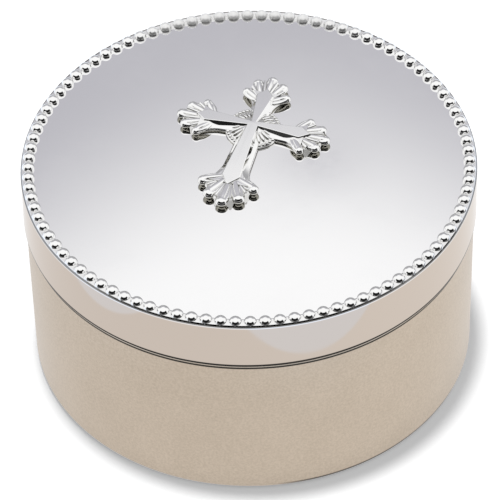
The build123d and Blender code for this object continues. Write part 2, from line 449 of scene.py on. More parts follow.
class Effects:
    """The shader node groups that the materials share, each built once."""

    def __init__(self) -> None:
        """Builds the groups."""
        # painted shade: darker on steep faces and in crevices
        self.recess_shade = shader_group(
            "recess_tarnish",
            [
                Socket("Steep Below", value=0.35),
                Socket("Flat Above", value=0.75),
                Socket("Crevice", value=0.4 * MM),
                Socket("Crevice Share", value=0.6),
            ],
            ["Mask"],
            self._recess_shade,
        )
        self.grain = shader_group(
            "plating_grain",
            [Socket("Vector", VECTOR), Socket("Scale", value=2500.0)],
            ["Mottle", "Grain", "Height"],
            self._grain,
        )
        self.handling = shader_group(
            "handling_marks",
            [Socket("Vector", VECTOR), Socket("Scale", value=60.0)],
            ["Smudge", "Hairline"],
            self._handling,
        )
        self.pile = shader_group(
            "velvet_pile",
            [Socket("Vector", VECTOR), Socket("Scale", value=6000.0)],
            ["Nap", "Height"],
            self._pile,
        )

    @staticmethod
    def _recess_shade(graph: Graph, source: bpy.types.Node) -> list[bpy.types.NodeSocket]:
        """Painted shade: darker on steep faces and in crevices.

        Args:
            graph: The graph that the nodes are added to.
            source: The group's input node.

        Returns:
            One socket for each output.
        """
        normal = graph.add("ShaderNodeNewGeometry").outputs["Normal"]
        rise = graph.add("ShaderNodeSeparateXYZ", {0: normal}).outputs["Z"]
        inputs = {0: rise, 1: source.outputs[0], 2: source.outputs[1], 3: 1.0, 4: 0.0}
        steep = graph.add("ShaderNodeMapRange", inputs, interpolation_type="SMOOTHSTEP")
        near = graph.add("ShaderNodeAmbientOcclusion", {"Distance": source.outputs[2]}, samples=8)
        closed = graph.math("SUBTRACT", 1.0, near.outputs["AO"])
        crevice = graph.math("MULTIPLY", closed, source.outputs[3])
        return [graph.math("MAXIMUM", steep.outputs[0], crevice)]

    @staticmethod
    def _grain(graph: Graph, source: bpy.types.Node) -> list[bpy.types.NodeSocket]:
        """Soft mottling and the fine grain of plated metal.

        Args:
            graph: The graph that the nodes are added to.
            source: The group's input node.

        Returns:
            One socket for each output.
        """
        vector, scale = source.outputs[0], source.outputs[1]
        coarse = graph.math("MULTIPLY", scale, 0.045)
        broad = {"Vector": vector, "Scale": coarse, "Detail": 4.0, "Roughness": 0.6}
        mottle = graph.add("ShaderNodeTexNoise", broad).outputs[0]
        close = {"Vector": vector, "Scale": scale, "Detail": 3.0, "Roughness": 0.7}
        grain = graph.add("ShaderNodeTexNoise", close).outputs[0]
        height = graph.math("MULTIPLY_ADD", mottle, 0.3, graph.math("MULTIPLY", grain, 0.7))
        return [graph.ramp(mottle, 0.3, 0.7), graph.ramp(grain, 0.3, 0.7), height]

    @staticmethod
    def _handling(graph: Graph, source: bpy.types.Node) -> list[bpy.types.NodeSocket]:
        """Faint smudges and hairlines from handling and polishing.

        Args:
            graph: The graph that the nodes are added to.
            source: The group's input node.

        Returns:
            One socket for each output.
        """
        vector, scale = source.outputs[0], source.outputs[1]
        broad = {"Vector": vector, "Scale": scale, "Detail": 5.0, "Roughness": 0.65}
        smudge = graph.ramp(graph.add("ShaderNodeTexNoise", broad).outputs[0], 0.42, 0.68)
        lines = []
        for turn, stretch in ((25.0, 1.0), (-50.0, 0.7)):
            rotation = (0.0, 0.0, math.radians(turn))
            sizes = {"Vector": vector, "Rotation": rotation, "Scale": (1.0, 60.0 * stretch, 1.0)}
            turned = graph.add("ShaderNodeMapping", sizes)
            thin = {"Vector": turned.outputs[0], "Scale": scale, "Detail": 2.0}
            lines.append(graph.ramp(graph.add("ShaderNodeTexNoise", thin).outputs[0], 0.66, 0.72))
        return [smudge, graph.math("MAXIMUM", *lines)]

    @staticmethod
    def _pile(graph: Graph, source: bpy.types.Node) -> list[bpy.types.NodeSocket]:
        """Brushed nap and the tips of a short pile.

        Args:
            graph: The graph that the nodes are added to.
            source: The group's input node.

        Returns:
            One socket for each output.
        """
        vector, scale = source.outputs[0], source.outputs[1]
        coarse = graph.math("MULTIPLY", scale, 0.03)
        broad = {"Vector": vector, "Scale": coarse, "Detail": 3.0, "Distortion": 0.8}
        nap = graph.add("ShaderNodeTexNoise", broad).outputs[0]
        tips = graph.add("ShaderNodeTexVoronoi", {"Vector": vector, "Scale": scale}).outputs[0]
        return [graph.ramp(nap, 0.35, 0.65), graph.math("SUBTRACT", 1.0, tips)]


# ---------------------------------------------------------------------------
# Finishes
# ---------------------------------------------------------------------------


class Material:
    """A material with one Principled BSDF and a bump node, ready for its patterns."""

    def __init__(self, name: str, **constants: object) -> None:
        """Makes the material.

        Args:
            name: Its name.
            constants: Values of the shader's own sockets, by name with _ for a space.
        """
        self.material = bpy.data.materials.new(name)
        self.material.use_nodes = True
        tree = self.material.node_tree
        tree.nodes.clear()
        self.graph = Graph(tree)
        inputs = {key.replace("_", " "): value for key, value in constants.items()}
        self.shader = self.graph.add("ShaderNodeBsdfPrincipled", inputs)
        self.graph.add("ShaderNodeOutputMaterial", {"Surface": self.shader.outputs[0]})

    def group(self, tree: bpy.types.NodeTree, inputs: dict | None = None) -> bpy.types.Node:
        """Places a shared group with its own values."""
        return self.graph.add("ShaderNodeGroup", inputs, node_tree=tree)

    def set(self, socket: str, source: bpy.types.NodeSocket) -> None:
        """Links a pattern to one of the shader's sockets."""
        self.graph.tree.links.new(source, self.shader.inputs[socket])

    def wear(
        self, effects: Effects, scale: float, rough: float, rise: float, depth: float
    ) -> bpy.types.NodeSocket:
        """Sets the roughness and hairlines of polished metal that is handled.

        Args:
            effects: The shared effects.
            scale: How fine the marks are.
            rough: Roughness where there is no smudge.
            rise: How much a smudge adds to it.
            depth: Depth of the hairlines, in millimetres.

        Returns:
            The mask of the smudges.
        """
        inputs = {"Vector": self.graph.place(), "Scale": scale}
        smudge, hairline = self.group(effects.handling, inputs).outputs
        self.set("Roughness", self.graph.ramp(smudge, 0.0, 1.0, rough, rough + rise))
        self.bump(hairline, depth)
        return smudge

    def bump(self, height: bpy.types.NodeSocket, depth: float) -> None:
        """Raises a pattern of heights from 0 to 1 by its depth in millimetres."""
        node = self.graph.add("ShaderNodeBump", {"Height": height, "Distance": depth * MM})
        self.set("Normal", node.outputs[0])


@dataclass(frozen=True)
class SatinPlate:
    """Satin plating with a fine grain, as on the base's wall; its warm beige is a painted
    reflection of a warm table.
    """

    name: str = "champagne_satin_plate"
    # warm beige: a painted reflection of a warm table, mottled at random
    light: Colour = (0.635, 0.54, 0.438)
    dark: Colour = (0.52, 0.437, 0.345)
    roughness: float = 0.30
    rim_roughness: float = 0.05
    rim: float = 0.7  # height of the polished rim under the mouth
    rim_line: float = 0.27  # half height of the painted shadow line under it
    rim_soft: float = 0.3  # how far that line blurs, as a share of it
    # colour of the painted shadow line under the rim and of the painted contact shadow at the
    # foot
    shadow_colour: Colour = (0.03, 0.028, 0.025)
    foot: tuple[float, float] = (1.25, 1.0)  # heights where the painted contact shadow at the foot starts, is full
    foot_shadow_turn: float = -126.0  # middle of the side that it is on, anticlockwise from +Y
    foot_shadow_out: tuple[float, float] = (31.0, 34.5)  # from the axis that way: from none to all
    foot_shadow_share: float = 0.9
    grain_scale: float = 2600.0
    grain_depth: float = 0.004
    speckle_share: float = 0.8  # of the fine grain in the colour
    mottle_share: float = 0.2

    def build(self, effects: Effects) -> bpy.types.Material:
        """Builds the material with the shared effects.

        Args:
            effects: The groups that the materials share.

        Returns:
            The material.
        """
        made = Material(self.name, Metallic=1.0)
        graph = made.graph
        grain = made.group(effects.grain, {"Vector": graph.place(), "Scale": self.grain_scale})
        speckle = graph.math("MULTIPLY", grain.outputs["Grain"], self.speckle_share)
        share = graph.math("MULTIPLY_ADD", grain.outputs["Mottle"], self.mottle_share, speckle)
        plate = graph.mix(share, self.dark, self.light)
        # painted shadow line under the rim, in the seam
        under = span("base_shell").high.z - self.rim
        height = graph.height()
        off = graph.math("ABSOLUTE", graph.math("SUBTRACT", height, under * MM))
        blur = self.rim_soft * self.rim_line
        line = graph.ramp(off, (self.rim_line + blur) * MM, (self.rim_line - blur) * MM)
        # painted contact shadow round the foot, on the side away from the lamp
        start, full = (reach * MM for reach in self.foot_shadow_out)
        side = graph.ramp(graph.along(self.foot_shadow_turn), start, full, 0.0, self.foot_shadow_share)
        foot = graph.ramp(height, self.foot[0] * MM, self.foot[1] * MM)
        painted_shade = graph.math("MAXIMUM", line, graph.math("MULTIPLY", foot, side))
        made.set("Base Color", graph.mix(painted_shade, plate, self.shadow_colour))
        low, high = (under - self.rim_line) * MM, (under + self.rim_line) * MM
        made.set("Roughness", graph.ramp(height, low, high, self.roughness, self.rim_roughness))
        made.bump(grain.outputs["Height"], self.grain_depth)
        return made.material


@dataclass(frozen=True)
class LidPlate:
    """Polished plate: bright on the flat top, with a painted warm reflection down the skirt and
    painted shadow lines round its top edge and along its lower edge.
    """

    name: str = "polished_lid_plate"
    top: Colour = (0.965, 0.962, 0.965)
    # warm: a painted reflection of a warm table
    skirt: Colour = (0.63, 0.55, 0.48)
    turn_low: float = 0.45  # below the top, where the skirt's tone is full
    turn_high: float = 0.12  # and where the top's is
    brim_shade: tuple[float, float] = (0.5, 0.375)  # up from the lower edge: where its painted shade starts, is full
    brim_shade_colour: Colour = (0.03, 0.028, 0.025)
    edge_out: tuple[float, float] = (0.16, 0.1)  # in from the outside: the painted shadow line on the top edge
    edge_up: tuple[float, float] = (0.16, 0.08)  # down from the top: the same
    edge_shade_colour: Colour = (0.36, 0.35, 0.34)
    roughness: float = 0.035
    marks: float = 70.0  # how fine the smudges and hairlines are
    smudge: float = 0.02  # how much rougher a smudge is
    hairline: float = 0.00005  # depth

    def build(self, effects: Effects) -> bpy.types.Material:
        """Builds the material with the shared effects.

        Args:
            effects: The groups that the materials share.

        Returns:
            The material.
        """
        made = Material(self.name, Metallic=1.0)
        graph = made.graph
        low, high = span("lid_shell")
        height = graph.height()
        share = graph.ramp(height, (high.z - self.turn_low) * MM, (high.z - self.turn_high) * MM)
        # painted shade along the lower edge, in the seam
        brim_shade = graph.ramp(height, *((low.z + up) * MM for up in self.brim_shade))
        plate = graph.mix(brim_shade, graph.mix(share, self.skirt, self.top), self.brim_shade_colour)
        # painted shadow line round the top's outer edge
        outside = graph.ramp(graph.reach(), *((high.x - into) * MM for into in self.edge_out))
        above = graph.ramp(height, *((high.z - down) * MM for down in self.edge_up))
        edge = graph.math("MULTIPLY", outside, above)
        made.set("Base Color", graph.mix(edge, plate, self.edge_shade_colour))
        made.wear(effects, self.marks, self.roughness, self.smudge, self.hairline)
        return made.material


@dataclass(frozen=True)
class PaintedShadePlate:
    """Bright plate with painted shade: darker on its steep flanks and in its crevices."""

    name: str
    bright: Colour = (0.97, 0.968, 0.962)
    # colour of the painted shade
    painted_shade: Colour = (0.42, 0.41, 0.40)
    steep_below: float = -0.3
    flat_above: float = 0.2
    crevice: float = 0.5
    crevice_share: float = 0.5
    roughness: float = 0.06
    far_whitening: float = 0.0  # how far the plate on the far side, away from the camera, is turned matt white, 0 to 1: a painted reflection
    far_side_turn: float = 17.6  # the way to the far side, away from the camera, anticlockwise from +Y
    whiten_from: float = 29.0  # from the axis, that way
    whiten_to: float = 36.0
    edge: float = 0.0  # from the axis to a painted shadow line along the outside, or 0 for none
    edge_soft: float = 0.04
    edge_shade_colour: Colour = (0.27, 0.265, 0.26)
    edge_widening: float = 0.3  # how much wider the painted shadow line is on the far side
    edge_behind: tuple[float, float] = (5.0, 30.0)  # from the axis that way: from none to all
    marks: float = 180.0  # how fine the smudges and hairlines are
    smudge: float = 0.03  # how much rougher a smudge is
    hairline: float = 0.0001  # depth

    def build(self, effects: Effects) -> bpy.types.Material:
        """Builds the material with the shared effects.

        Args:
            effects: The groups that the materials share.

        Returns:
            The material.
        """
        made = Material(self.name, Metallic=1.0)
        graph = made.graph
        sizes = {
            "Steep Below": self.steep_below,
            "Flat Above": self.flat_above,
            "Crevice": self.crevice * MM,
            "Crevice Share": self.crevice_share,
        }
        # painted shade on steep faces and in crevices
        painted_shade = made.group(effects.recess_shade, sizes)
        plate = graph.mix(painted_shade.outputs["Mask"], self.bright, self.painted_shade)
        # painted shadow line along the outside, wider on the far side
        if self.edge:
            start, full = (reach * MM for reach in self.edge_behind)
            behind = graph.ramp(graph.along(self.far_side_turn), start, full)
            out = graph.math("MULTIPLY_ADD", behind, self.edge_widening * MM, graph.reach())
            low, high = (self.edge - self.edge_soft) * MM, (self.edge + self.edge_soft) * MM
            plate = graph.mix(graph.ramp(out, low, high), plate, self.edge_shade_colour)
        made.set("Base Color", plate)
        # painted reflection: the far side turns partly matt white, so it looks brighter
        if self.far_whitening:
            low, high = self.whiten_from * MM, self.whiten_to * MM
            whole = graph.ramp(graph.along(self.far_side_turn), low, high, 1.0, 1.0 - self.far_whitening)
            made.set("Metallic", whole)
        made.wear(effects, self.marks, self.roughness, self.smudge, self.hairline)
        return made.material


@dataclass(frozen=True)
class PlainMetal:
    """Bare or gilt metal with drawing marks."""

    name: str
    light: Colour
    dark: Colour
    roughness: float
    marks: float = 120.0  # how fine the smudges and hairlines are
    smudge: float = 0.08  # how much rougher a smudge is
    hairline: float = 0.001  # depth

    def build(self, effects: Effects) -> bpy.types.Material:
        """Builds the material with the shared effects.

        Args:
            effects: The groups that the materials share.

        Returns:
            The material.
        """
        made = Material(self.name, Metallic=1.0)
        smudge = made.wear(effects, self.marks, self.roughness, self.smudge, self.hairline)
        made.set("Base Color", made.graph.mix(smudge, self.light, self.dark))
        return made.material


@dataclass(frozen=True)
class Pile:
    """Velvet or flock: a short brushed pile with a sheen."""

    name: str
    deep: Colour
    tip: Colour
    sheen: Colour
    scale: float = 5200.0
    depth: float = 0.12
    nap_share: float = 0.6  # of the brushed nap in the colour
    tip_share: float = 0.4
    roughness: float = 0.95
    sheen_weight: float = 0.7
    sheen_roughness: float = 0.45

    def build(self, effects: Effects) -> bpy.types.Material:
        """Builds the material with the shared effects.

        Args:
            effects: The groups that the materials share.

        Returns:
            The material.
        """
        made = Material(
            self.name,
            Roughness=self.roughness,
            Sheen_Weight=self.sheen_weight,
            Sheen_Roughness=self.sheen_roughness,
            Sheen_Tint=(*self.sheen, 1.0),
        )
        graph = made.graph
        pile = made.group(effects.pile, {"Vector": graph.place(), "Scale": self.scale})
        brushed = graph.math("MULTIPLY", pile.outputs["Nap"], self.nap_share)
        share = graph.math("MULTIPLY_ADD", pile.outputs["Height"], self.tip_share, brushed)
        made.set("Base Color", graph.mix(share, self.deep, self.tip))
        made.bump(pile.outputs["Height"], self.depth)
        return made.material


@dataclass(frozen=True)
class Paper:
    """Grey board or wadding: a matt, fibrous surface."""

    name: str
    light: Colour
    dark: Colour
    scale: float
    depth: float
    roughness: float = 0.9

    def build(self, effects: Effects) -> bpy.types.Material:
        """Builds the material with the shared effects.

        Args:
            effects: The groups that the materials share.

        Returns:
            The material.
        """
        made = Material(self.name, Roughness=self.roughness)
        graph = made.graph
        fibre = made.group(effects.grain, {"Vector": graph.place(), "Scale": self.scale})
        made.set("Base Color", graph.mix(fibre.outputs["Grain"], self.dark, self.light))
        made.bump(fibre.outputs["Height"], self.depth)
        return made.material


class Finishes:
    """Every material of the box, by its slot in the record."""

    def __init__(self, effects: Effects) -> None:
        """Builds the materials.

        Args:
            effects: The groups that the materials share.
        """
        navy, blue, pale = (0.010, 0.017, 0.075), (0.030, 0.050, 0.19), (0.30, 0.38, 0.75)
        beads = PaintedShadePlate("bead_plate", crevice=0.5, far_whitening=0.78, edge=37.79)
        # warm colour of the cross's painted shade
        painted_shade = (0.30, 0.29, 0.25)
        cross = PaintedShadePlate("cross_plate", painted_shade=painted_shade, crevice=0.4, crevice_share=0.85)
        gilt = PlainMetal("collar_gilt", (0.93, 0.79, 0.52), (0.90, 0.76, 0.49), 0.16)
        steel = PlainMetal("spring_steel", (0.42, 0.43, 0.46), (0.30, 0.31, 0.35), 0.28)
        flock = Pile("foot_flock", (0.008, 0.008, 0.012), (0.02, 0.02, 0.03), (0.3, 0.3, 0.35))
        card = Paper("grey_board", (0.50, 0.48, 0.43), (0.36, 0.34, 0.30), 1500.0, 0.03)
        wadding = Paper("cotton_wadding", (0.86, 0.85, 0.82), (0.70, 0.69, 0.66), 500.0, 0.3)
        recipes = {
            Finish.BASE_PLATE: SatinPlate(),
            Finish.LID_PLATE: LidPlate(),
            Finish.BEAD_PLATE: beads,
            Finish.CROSS_PLATE: cross,
            Finish.COLLAR_GILT: gilt,
            Finish.SPRING_STEEL: steel,
            Finish.VELVET: Pile("lining_velvet", navy, blue, pale),
            Finish.FLOCK: flock,
            Finish.CARD: card,
            Finish.WADDING: wadding,
        }
        self._made = {slot: recipe.build(effects) for slot, recipe in recipes.items()}

    def __getitem__(self, slot: Finish) -> bpy.types.Material:
        """Returns the material of a slot."""
        return self._made[slot]


# ---------------------------------------------------------------------------
# Base
# ---------------------------------------------------------------------------


@dataclass
class BaseBody:
    """Drawn cup, its foot pad, its collar and its velvet lining."""

    wall: float = 0.8
    lean: float = 0.55
    mouth_round: float = 0.42
    rim: float = 0.7  # height of the rolled rim
    rim_step: float = 0.13  # how far it stands out
    rim_round: float = 0.1  # under it
    foot_round: float = 0.8
    floor_step: float = 0.9
    floor_edge: float = 0.8  # height of the floor's outer ring
    recess_clearance: float = 0.2
    recess_round: float = 0.3
    pad_round: float = 0.12
    collar_sheet: float = 0.6
    collar_lead: float = 0.25
    collar_foot: float = 0.1  # rounding of its lower edge
    lining: float = 1.4  # card and velvet together
    velvet: float = 0.9
    velvet_turn: float = 0.4  # size of its upper edge, where it turns over the card
    velvet_round: tuple[float, float] = (0.3, 0.5)  # roundings of that edge, outer and inner
    seam_width: float = 0.35
    seam_depth: float = 0.35
    cushion_crown: float = 1.0  # extra height in the middle of the cushion
    cushion_round: float = 1.2
    cushion_foot: float = 0.3  # its small bevel below
    gather_from: float = 0.55  # share of its radius where the gathers start
    gather_above: float = 0.6  # height over its underside from which they show
    gather_depth: float = 0.22

    def wall_radius(self, height: float, depth: float) -> float:
        """Finds how far out the wall is.

        Args:
            height: The height above the surface that the box stands on.
            depth: How far inside the wall's outer face.

        Returns:
            The radius there.
        """
        shell = span("base_shell")
        rise = (height - shell.low.z) / (shell.high.z - shell.low.z)
        return shell.radius - self.lean * (1 - rise) - depth

    def shell(self) -> bpy.types.Object:
        """Builds the cup: a leaning wall and a floor that is pressed up in its middle.

        Returns:
            The cup.
        """
        low, high = span("base_shell")
        recess = span("foot_pad").radius + self.recess_clearance
        edge_floor = low.z + self.floor_edge
        pressed = edge_floor + self.floor_step
        corners = [
            Corner(0, pressed - self.wall),
            Corner(recess, pressed - self.wall),
            Corner(recess, low.z, self.recess_round),
            Corner(high.x - self.lean, low.z, self.foot_round),
            Corner(high.x - self.rim_step, high.z - self.rim),
            Corner(high.x, high.z - self.rim + self.rim_step, self.rim_round),
            Corner(high.x, high.z, self.mouth_round),
            Corner(high.x - self.wall, high.z),
            Corner(self.wall_radius(edge_floor, self.wall), edge_floor),
            Corner(recess + self.wall, edge_floor),
            Corner(recess + self.wall, pressed),
            Corner(0, pressed),
        ]
        return lathe("base_cup", rounded(corners, 10))

    def collar(self) -> bpy.types.Object:
        """Builds the collar that guides the lid: straight above the mouth, leaning below.

        Returns:
            The collar.
        """
        low, high = span("locating_collar")
        mouth = span("base_shell").high.z
        outer, inner = high.x, high.x - self.collar_sheet
        foot = self.wall_radius(low.z, self.wall)
        corners = [
            Corner(foot, low.z, self.collar_foot),
            Corner(outer, mouth),
            Corner(outer, high.z, self.collar_lead),
            Corner(inner, high.z, self.collar_lead),
            Corner(inner, mouth),
            Corner(foot - self.collar_sheet, low.z, self.collar_foot),
        ]
        return lathe("lid_collar", rounded(corners, 5))

    def wall_velvet(self) -> bpy.types.Object:
        """Builds the velvet round the wall, with the seam where its two ends meet.

        Returns:
            The lining.
        """
        low, high = span("wall_velvet")
        face = self.wall + self.lining
        card = face - self.velvet
        card_top = high.z - self.velvet
        turned = card_top - self.velvet_turn
        outer_round, inner_round = self.velvet_round
        corners = [
            Corner(self.wall_radius(low.z, card), low.z),
            Corner(self.wall_radius(card_top, card), card_top),
            Corner(self.wall_radius(card_top, self.wall), card_top),
            Corner(self.wall_radius(high.z, self.wall), high.z),
            Corner(self.wall_radius(high.z, card + self.velvet_turn), high.z, outer_round),
            Corner(self.wall_radius(turned, face), turned, inner_round),
            Corner(self.wall_radius(low.z, face), low.z),
        ]
        made = lathe("wall_lining", rounded(corners, 6), 720)
        inner = self.wall_radius(high.z, face - self.velvet / 2) * MM
        for vertex in made.data.vertices:
            radius = math.hypot(vertex.co.x, vertex.co.y)
            if radius > inner or vertex.co.y < 0:
                continue
            across = vertex.co.x / (self.seam_width * MM)
            push = 1 + self.seam_depth * MM * math.exp(-across * across) / radius
            vertex.co.x *= push
            vertex.co.y *= push
        return made

    def cushion(self) -> bpy.types.Object:
        """Builds the crowned velvet pad on the floor, gathered a little round its edge.

        Returns:
            The pad.
        """
        low, high = span("floor_cushion")
        edge = high.z - self.cushion_crown
        crest_steps, round_steps = 24, 8
        side = [
            Vector((0, low.z)),
            Vector((high.x - self.cushion_foot, low.z)),
            Vector((high.x, low.z + self.cushion_foot)),
            Vector((high.x, edge - self.cushion_round)),
        ]
        for step in range(1, round_steps):
            turn = math.pi / 2 * step / round_steps
            radius = high.x - self.cushion_round * (1 - math.cos(turn))
            height = edge - self.cushion_round * (1 - math.sin(turn))
            side.append(Vector((radius, height)))
        crest = []
        for step in range(crest_steps, 0, -1):
            share = step / crest_steps
            height = edge + self.cushion_crown * (1 - share**2)
            crest.append(Vector((share * (high.x - self.cushion_round), height)))
        made = lathe("floor_pad", [*side, *crest, Vector((0, high.z))], 360)
        gathers = self.gather_from * high.x
        for vertex in made.data.vertices:
            turn = math.atan2(vertex.co.y, vertex.co.x)
            radius = math.hypot(vertex.co.x, vertex.co.y) / MM
            share = max(0.0, (radius - gathers) / (high.x - gathers))
            wave = 0.5 + 0.3 * math.sin(41 * turn) + 0.2 * math.sin(67 * turn + 1.3)
            if vertex.co.z > (low.z + self.gather_above) * MM:
                vertex.co.z -= self.gather_depth * MM * wave * share**2
        return made

    def foot(self) -> bpy.types.Object:
        """Builds the flock pad under the floor.

        Returns:
            The flock pad.
        """
        low, high = span("foot_pad")
        corners = [
            Corner(0, low.z),
            Corner(high.x, low.z, self.pad_round),
            Corner(high.x, high.z),
            Corner(0, high.z),
        ]
        return lathe("flock_pad", rounded(corners, 4), 256)

    def build(self, finishes: Finishes) -> None:
        """Args:
            finishes: The materials, by slot.
        """
        dress(self.shell(), Body.BASE, Finish.BASE_PLATE, finishes, "base_shell")
        dress(self.collar(), Body.BASE, Finish.COLLAR_GILT, finishes, "locating_collar")
        lining = dress(self.wall_velvet(), Body.BASE, Finish.VELVET, finishes, "wall_velvet")
        pad = dress(self.cushion(), Body.BASE, Finish.VELVET, finishes, "floor_cushion")
        dress(self.foot(), Body.BASE, Finish.FLOCK, finishes, "foot_pad")
        repaint("wall_card", finishes[Finish.CARD])
        repaint("floor_card", finishes[Finish.CARD])


# ---------------------------------------------------------------------------
# Domes in a ring: the bead border and the grains and leaves of the rosette
# ---------------------------------------------------------------------------


@dataclass(frozen=True)
class DomeRing:
    """A ring of half-round domes, all joined with the piece that they stand on."""

    count: int
    radius: float
    circle: float
    level: float
    sink: float
    first_turn: float = 0.0
    stretch: tuple[float, float, float] = (1.0, 1.0, 1.0)
    tilt: float = 0.0  # degrees that the outer end is lower
    segments: int = 32
    rings: int = 18

    def values(self) -> dict[str, object]:
        """Lists the values of the node tree's inputs.

        Returns:
            The values by name, in metres and radians.
        """
        return {
            "Count": self.count,
            "Dome Radius": self.radius * MM,
            "Circle Radius": self.circle * MM,
            "Level": self.level * MM,
            "Sink": self.sink * MM,
            "First Turn": math.radians(self.first_turn),
            "Stretch": self.stretch,
            "Tilt": math.radians(self.tilt),
            "Segments": self.segments,
            "Rings": self.rings,
        }

    def apply(self, piece: bpy.types.Object, material: bpy.types.Material) -> bpy.types.Object:
        """Joins the domes to a piece.

        Args:
            piece: The closed piece that the domes stand on. It is replaced.
            material: The material that the tree sets.

        Returns:
            The new piece, a plain mesh.
        """
        tree = bpy.data.node_groups.get("dome_ring") or dome_ring_tree()
        modifier = piece.modifiers.new("domes", "NODES")
        modifier.node_group = tree
        values = {**self.values(), "Material": material}
        for item in tree.interface.items_tree:
            if item.in_out == "INPUT" and item.name in values:
                modifier[item.identifier] = values[item.name]
        made = evaluated(piece, piece.name)
        smooth(made.data, SHARP)
        return made


def dome_ring_tree() -> bpy.types.NodeTree:
    """Builds the tree that sets domes in a ring and joins them to the geometry they stand on.

    Returns:
        The tree.
    """
    tree = bpy.data.node_groups.new("dome_ring", "GeometryNodeTree")
    inputs = [
        Socket("Geometry", "NodeSocketGeometry"),
        Socket("Count", "NodeSocketInt"),
        Socket("Dome Radius"),
        Socket("Circle Radius"),
        Socket("Level"),
        Socket("Sink"),
        Socket("First Turn"),
        Socket("Stretch", VECTOR),
        Socket("Tilt"),
        Socket("Segments", "NodeSocketInt"),
        Socket("Rings", "NodeSocketInt"),
        Socket("Material", "NodeSocketMaterial"),
    ]
    for socket in inputs:
        tree.interface.new_socket(socket.name, in_out="INPUT", socket_type=socket.kind)
    tree.interface.new_socket("Geometry", in_out="OUTPUT", socket_type="NodeSocketGeometry")
    graph = Graph(tree)
    source = graph.add("NodeGroupInput").outputs
    sizes = {
        "Segments": source["Segments"],
        "Rings": source["Rings"],
        "Radius": source["Dome Radius"],
    }
    ball = graph.add("GeometryNodeMeshUVSphere", sizes)
    spot = graph.add("GeometryNodeInputPosition").outputs[0]
    there = graph.add("ShaderNodeSeparateXYZ", {0: spot})
    under = graph.math("MULTIPLY", source["Sink"], -1.0)
    floor = graph.math("MAXIMUM", there.outputs["Z"], under)
    flat = {0: there.outputs["X"], 1: there.outputs["Y"], 2: floor}
    moved = {
        "Geometry": ball.outputs[0],
        "Position": graph.add("ShaderNodeCombineXYZ", flat).outputs[0],
    }
    dome = graph.add("GeometryNodeSetPosition", moved)
    step = graph.math("DIVIDE", math.tau, source["Count"])
    index = graph.add("GeometryNodeInputIndex").outputs[0]
    turn = graph.math("ADD", graph.math("MULTIPLY", index, step), source["First Turn"])
    places = {
        0: graph.math("MULTIPLY", graph.math("COSINE", turn), source["Circle Radius"]),
        1: graph.math("MULTIPLY", graph.math("SINE", turn), source["Circle Radius"]),
        2: source["Level"],
    }
    seats = {
        "Count": source["Count"],
        "Position": graph.add("ShaderNodeCombineXYZ", places).outputs[0],
    }
    points = graph.add("GeometryNodePoints", seats)
    set_domes = {
        "Points": points.outputs[0],
        "Instance": dome.outputs[0],
        "Rotation": graph.add("ShaderNodeCombineXYZ", {1: source["Tilt"], 2: turn}).outputs[0],
        "Scale": source["Stretch"],
    }
    domes = graph.add("GeometryNodeInstanceOnPoints", set_domes)
    solid = graph.add("GeometryNodeRealizeInstances", {"Geometry": domes.outputs[0]})
    joined = graph.add("GeometryNodeMeshBoolean", operation="UNION", solver="MANIFOLD")
    tree.links.new(source["Geometry"], joined.inputs["Mesh 2"])
    tree.links.new(solid.outputs[0], joined.inputs["Mesh 2"])
    painted = {"Geometry": joined.outputs[0], "Material": source["Material"]}
    result = graph.add("GeometryNodeSetMaterial", painted)
    graph.add("NodeGroupOutput", {0: result.outputs[0]})
    return tree


# ---------------------------------------------------------------------------
# Cross
# ---------------------------------------------------------------------------


@dataclass(frozen=True)
class Fan:
    """Balls of a five-lobed fan, measured from its middle ball."""

    ball: float  # their radius
    near_side: float  # how far aside the two next to the middle one lie
    near_back: float
    end_side: float  # how far aside the two end ones lie
    end_back: float


@dataclass(frozen=True)
class Arm:
    """One arm of the cross, measured along itself from the crossing."""

    turn: float  # degrees anticlockwise from the head
    reach: float  # to its fan's middle ball
    shoulder: float  # to the kite's widest place
    point: float  # to the kite's point
    root_half: float  # half width of the kite's top at the crossing
    kite_half: float  # half width of the kite's top at its shoulder
    waist: float  # half width of the arm at the crossing
    waist_end: float  # half width of the arm where its flare starts
    flare_start: float
    fan_start: float  # to where the petals start
    fan: Fan
    flare_over: float = 0.1  # how far the flare ends beyond the middles of its end balls
    flare_curve: float = 1.7  # power: the higher, the later it opens

    def balls(self) -> list[Vector]:
        """Places the five balls.

        Returns:
            Their centres, as (across, along).
        """
        fan = self.fan
        near, end = self.reach - fan.near_back, self.reach - fan.end_back
        places = [(-fan.end_side, end), (-fan.near_side, near), (0.0, self.reach)]
        places += [(fan.near_side, near), (fan.end_side, end)]
        return [Vector(place) for place in places]

    def half_width(self, along: float) -> float:
        """Finds the arm's half width: straight at first, then a concave flare to its end balls.

        Args:
            along: Distance from the crossing.

        Returns:
            The half width there.
        """
        if along <= self.flare_start:
            return self.waist + (self.waist_end - self.waist) * max(0.0, along) / self.flare_start
        end = self.reach - self.fan.end_back
        share = min(1.0, (along - self.flare_start) / (end - self.flare_start))
        open_by = self.fan.end_side + self.flare_over - self.waist_end
        return self.waist_end + open_by * share**self.flare_curve


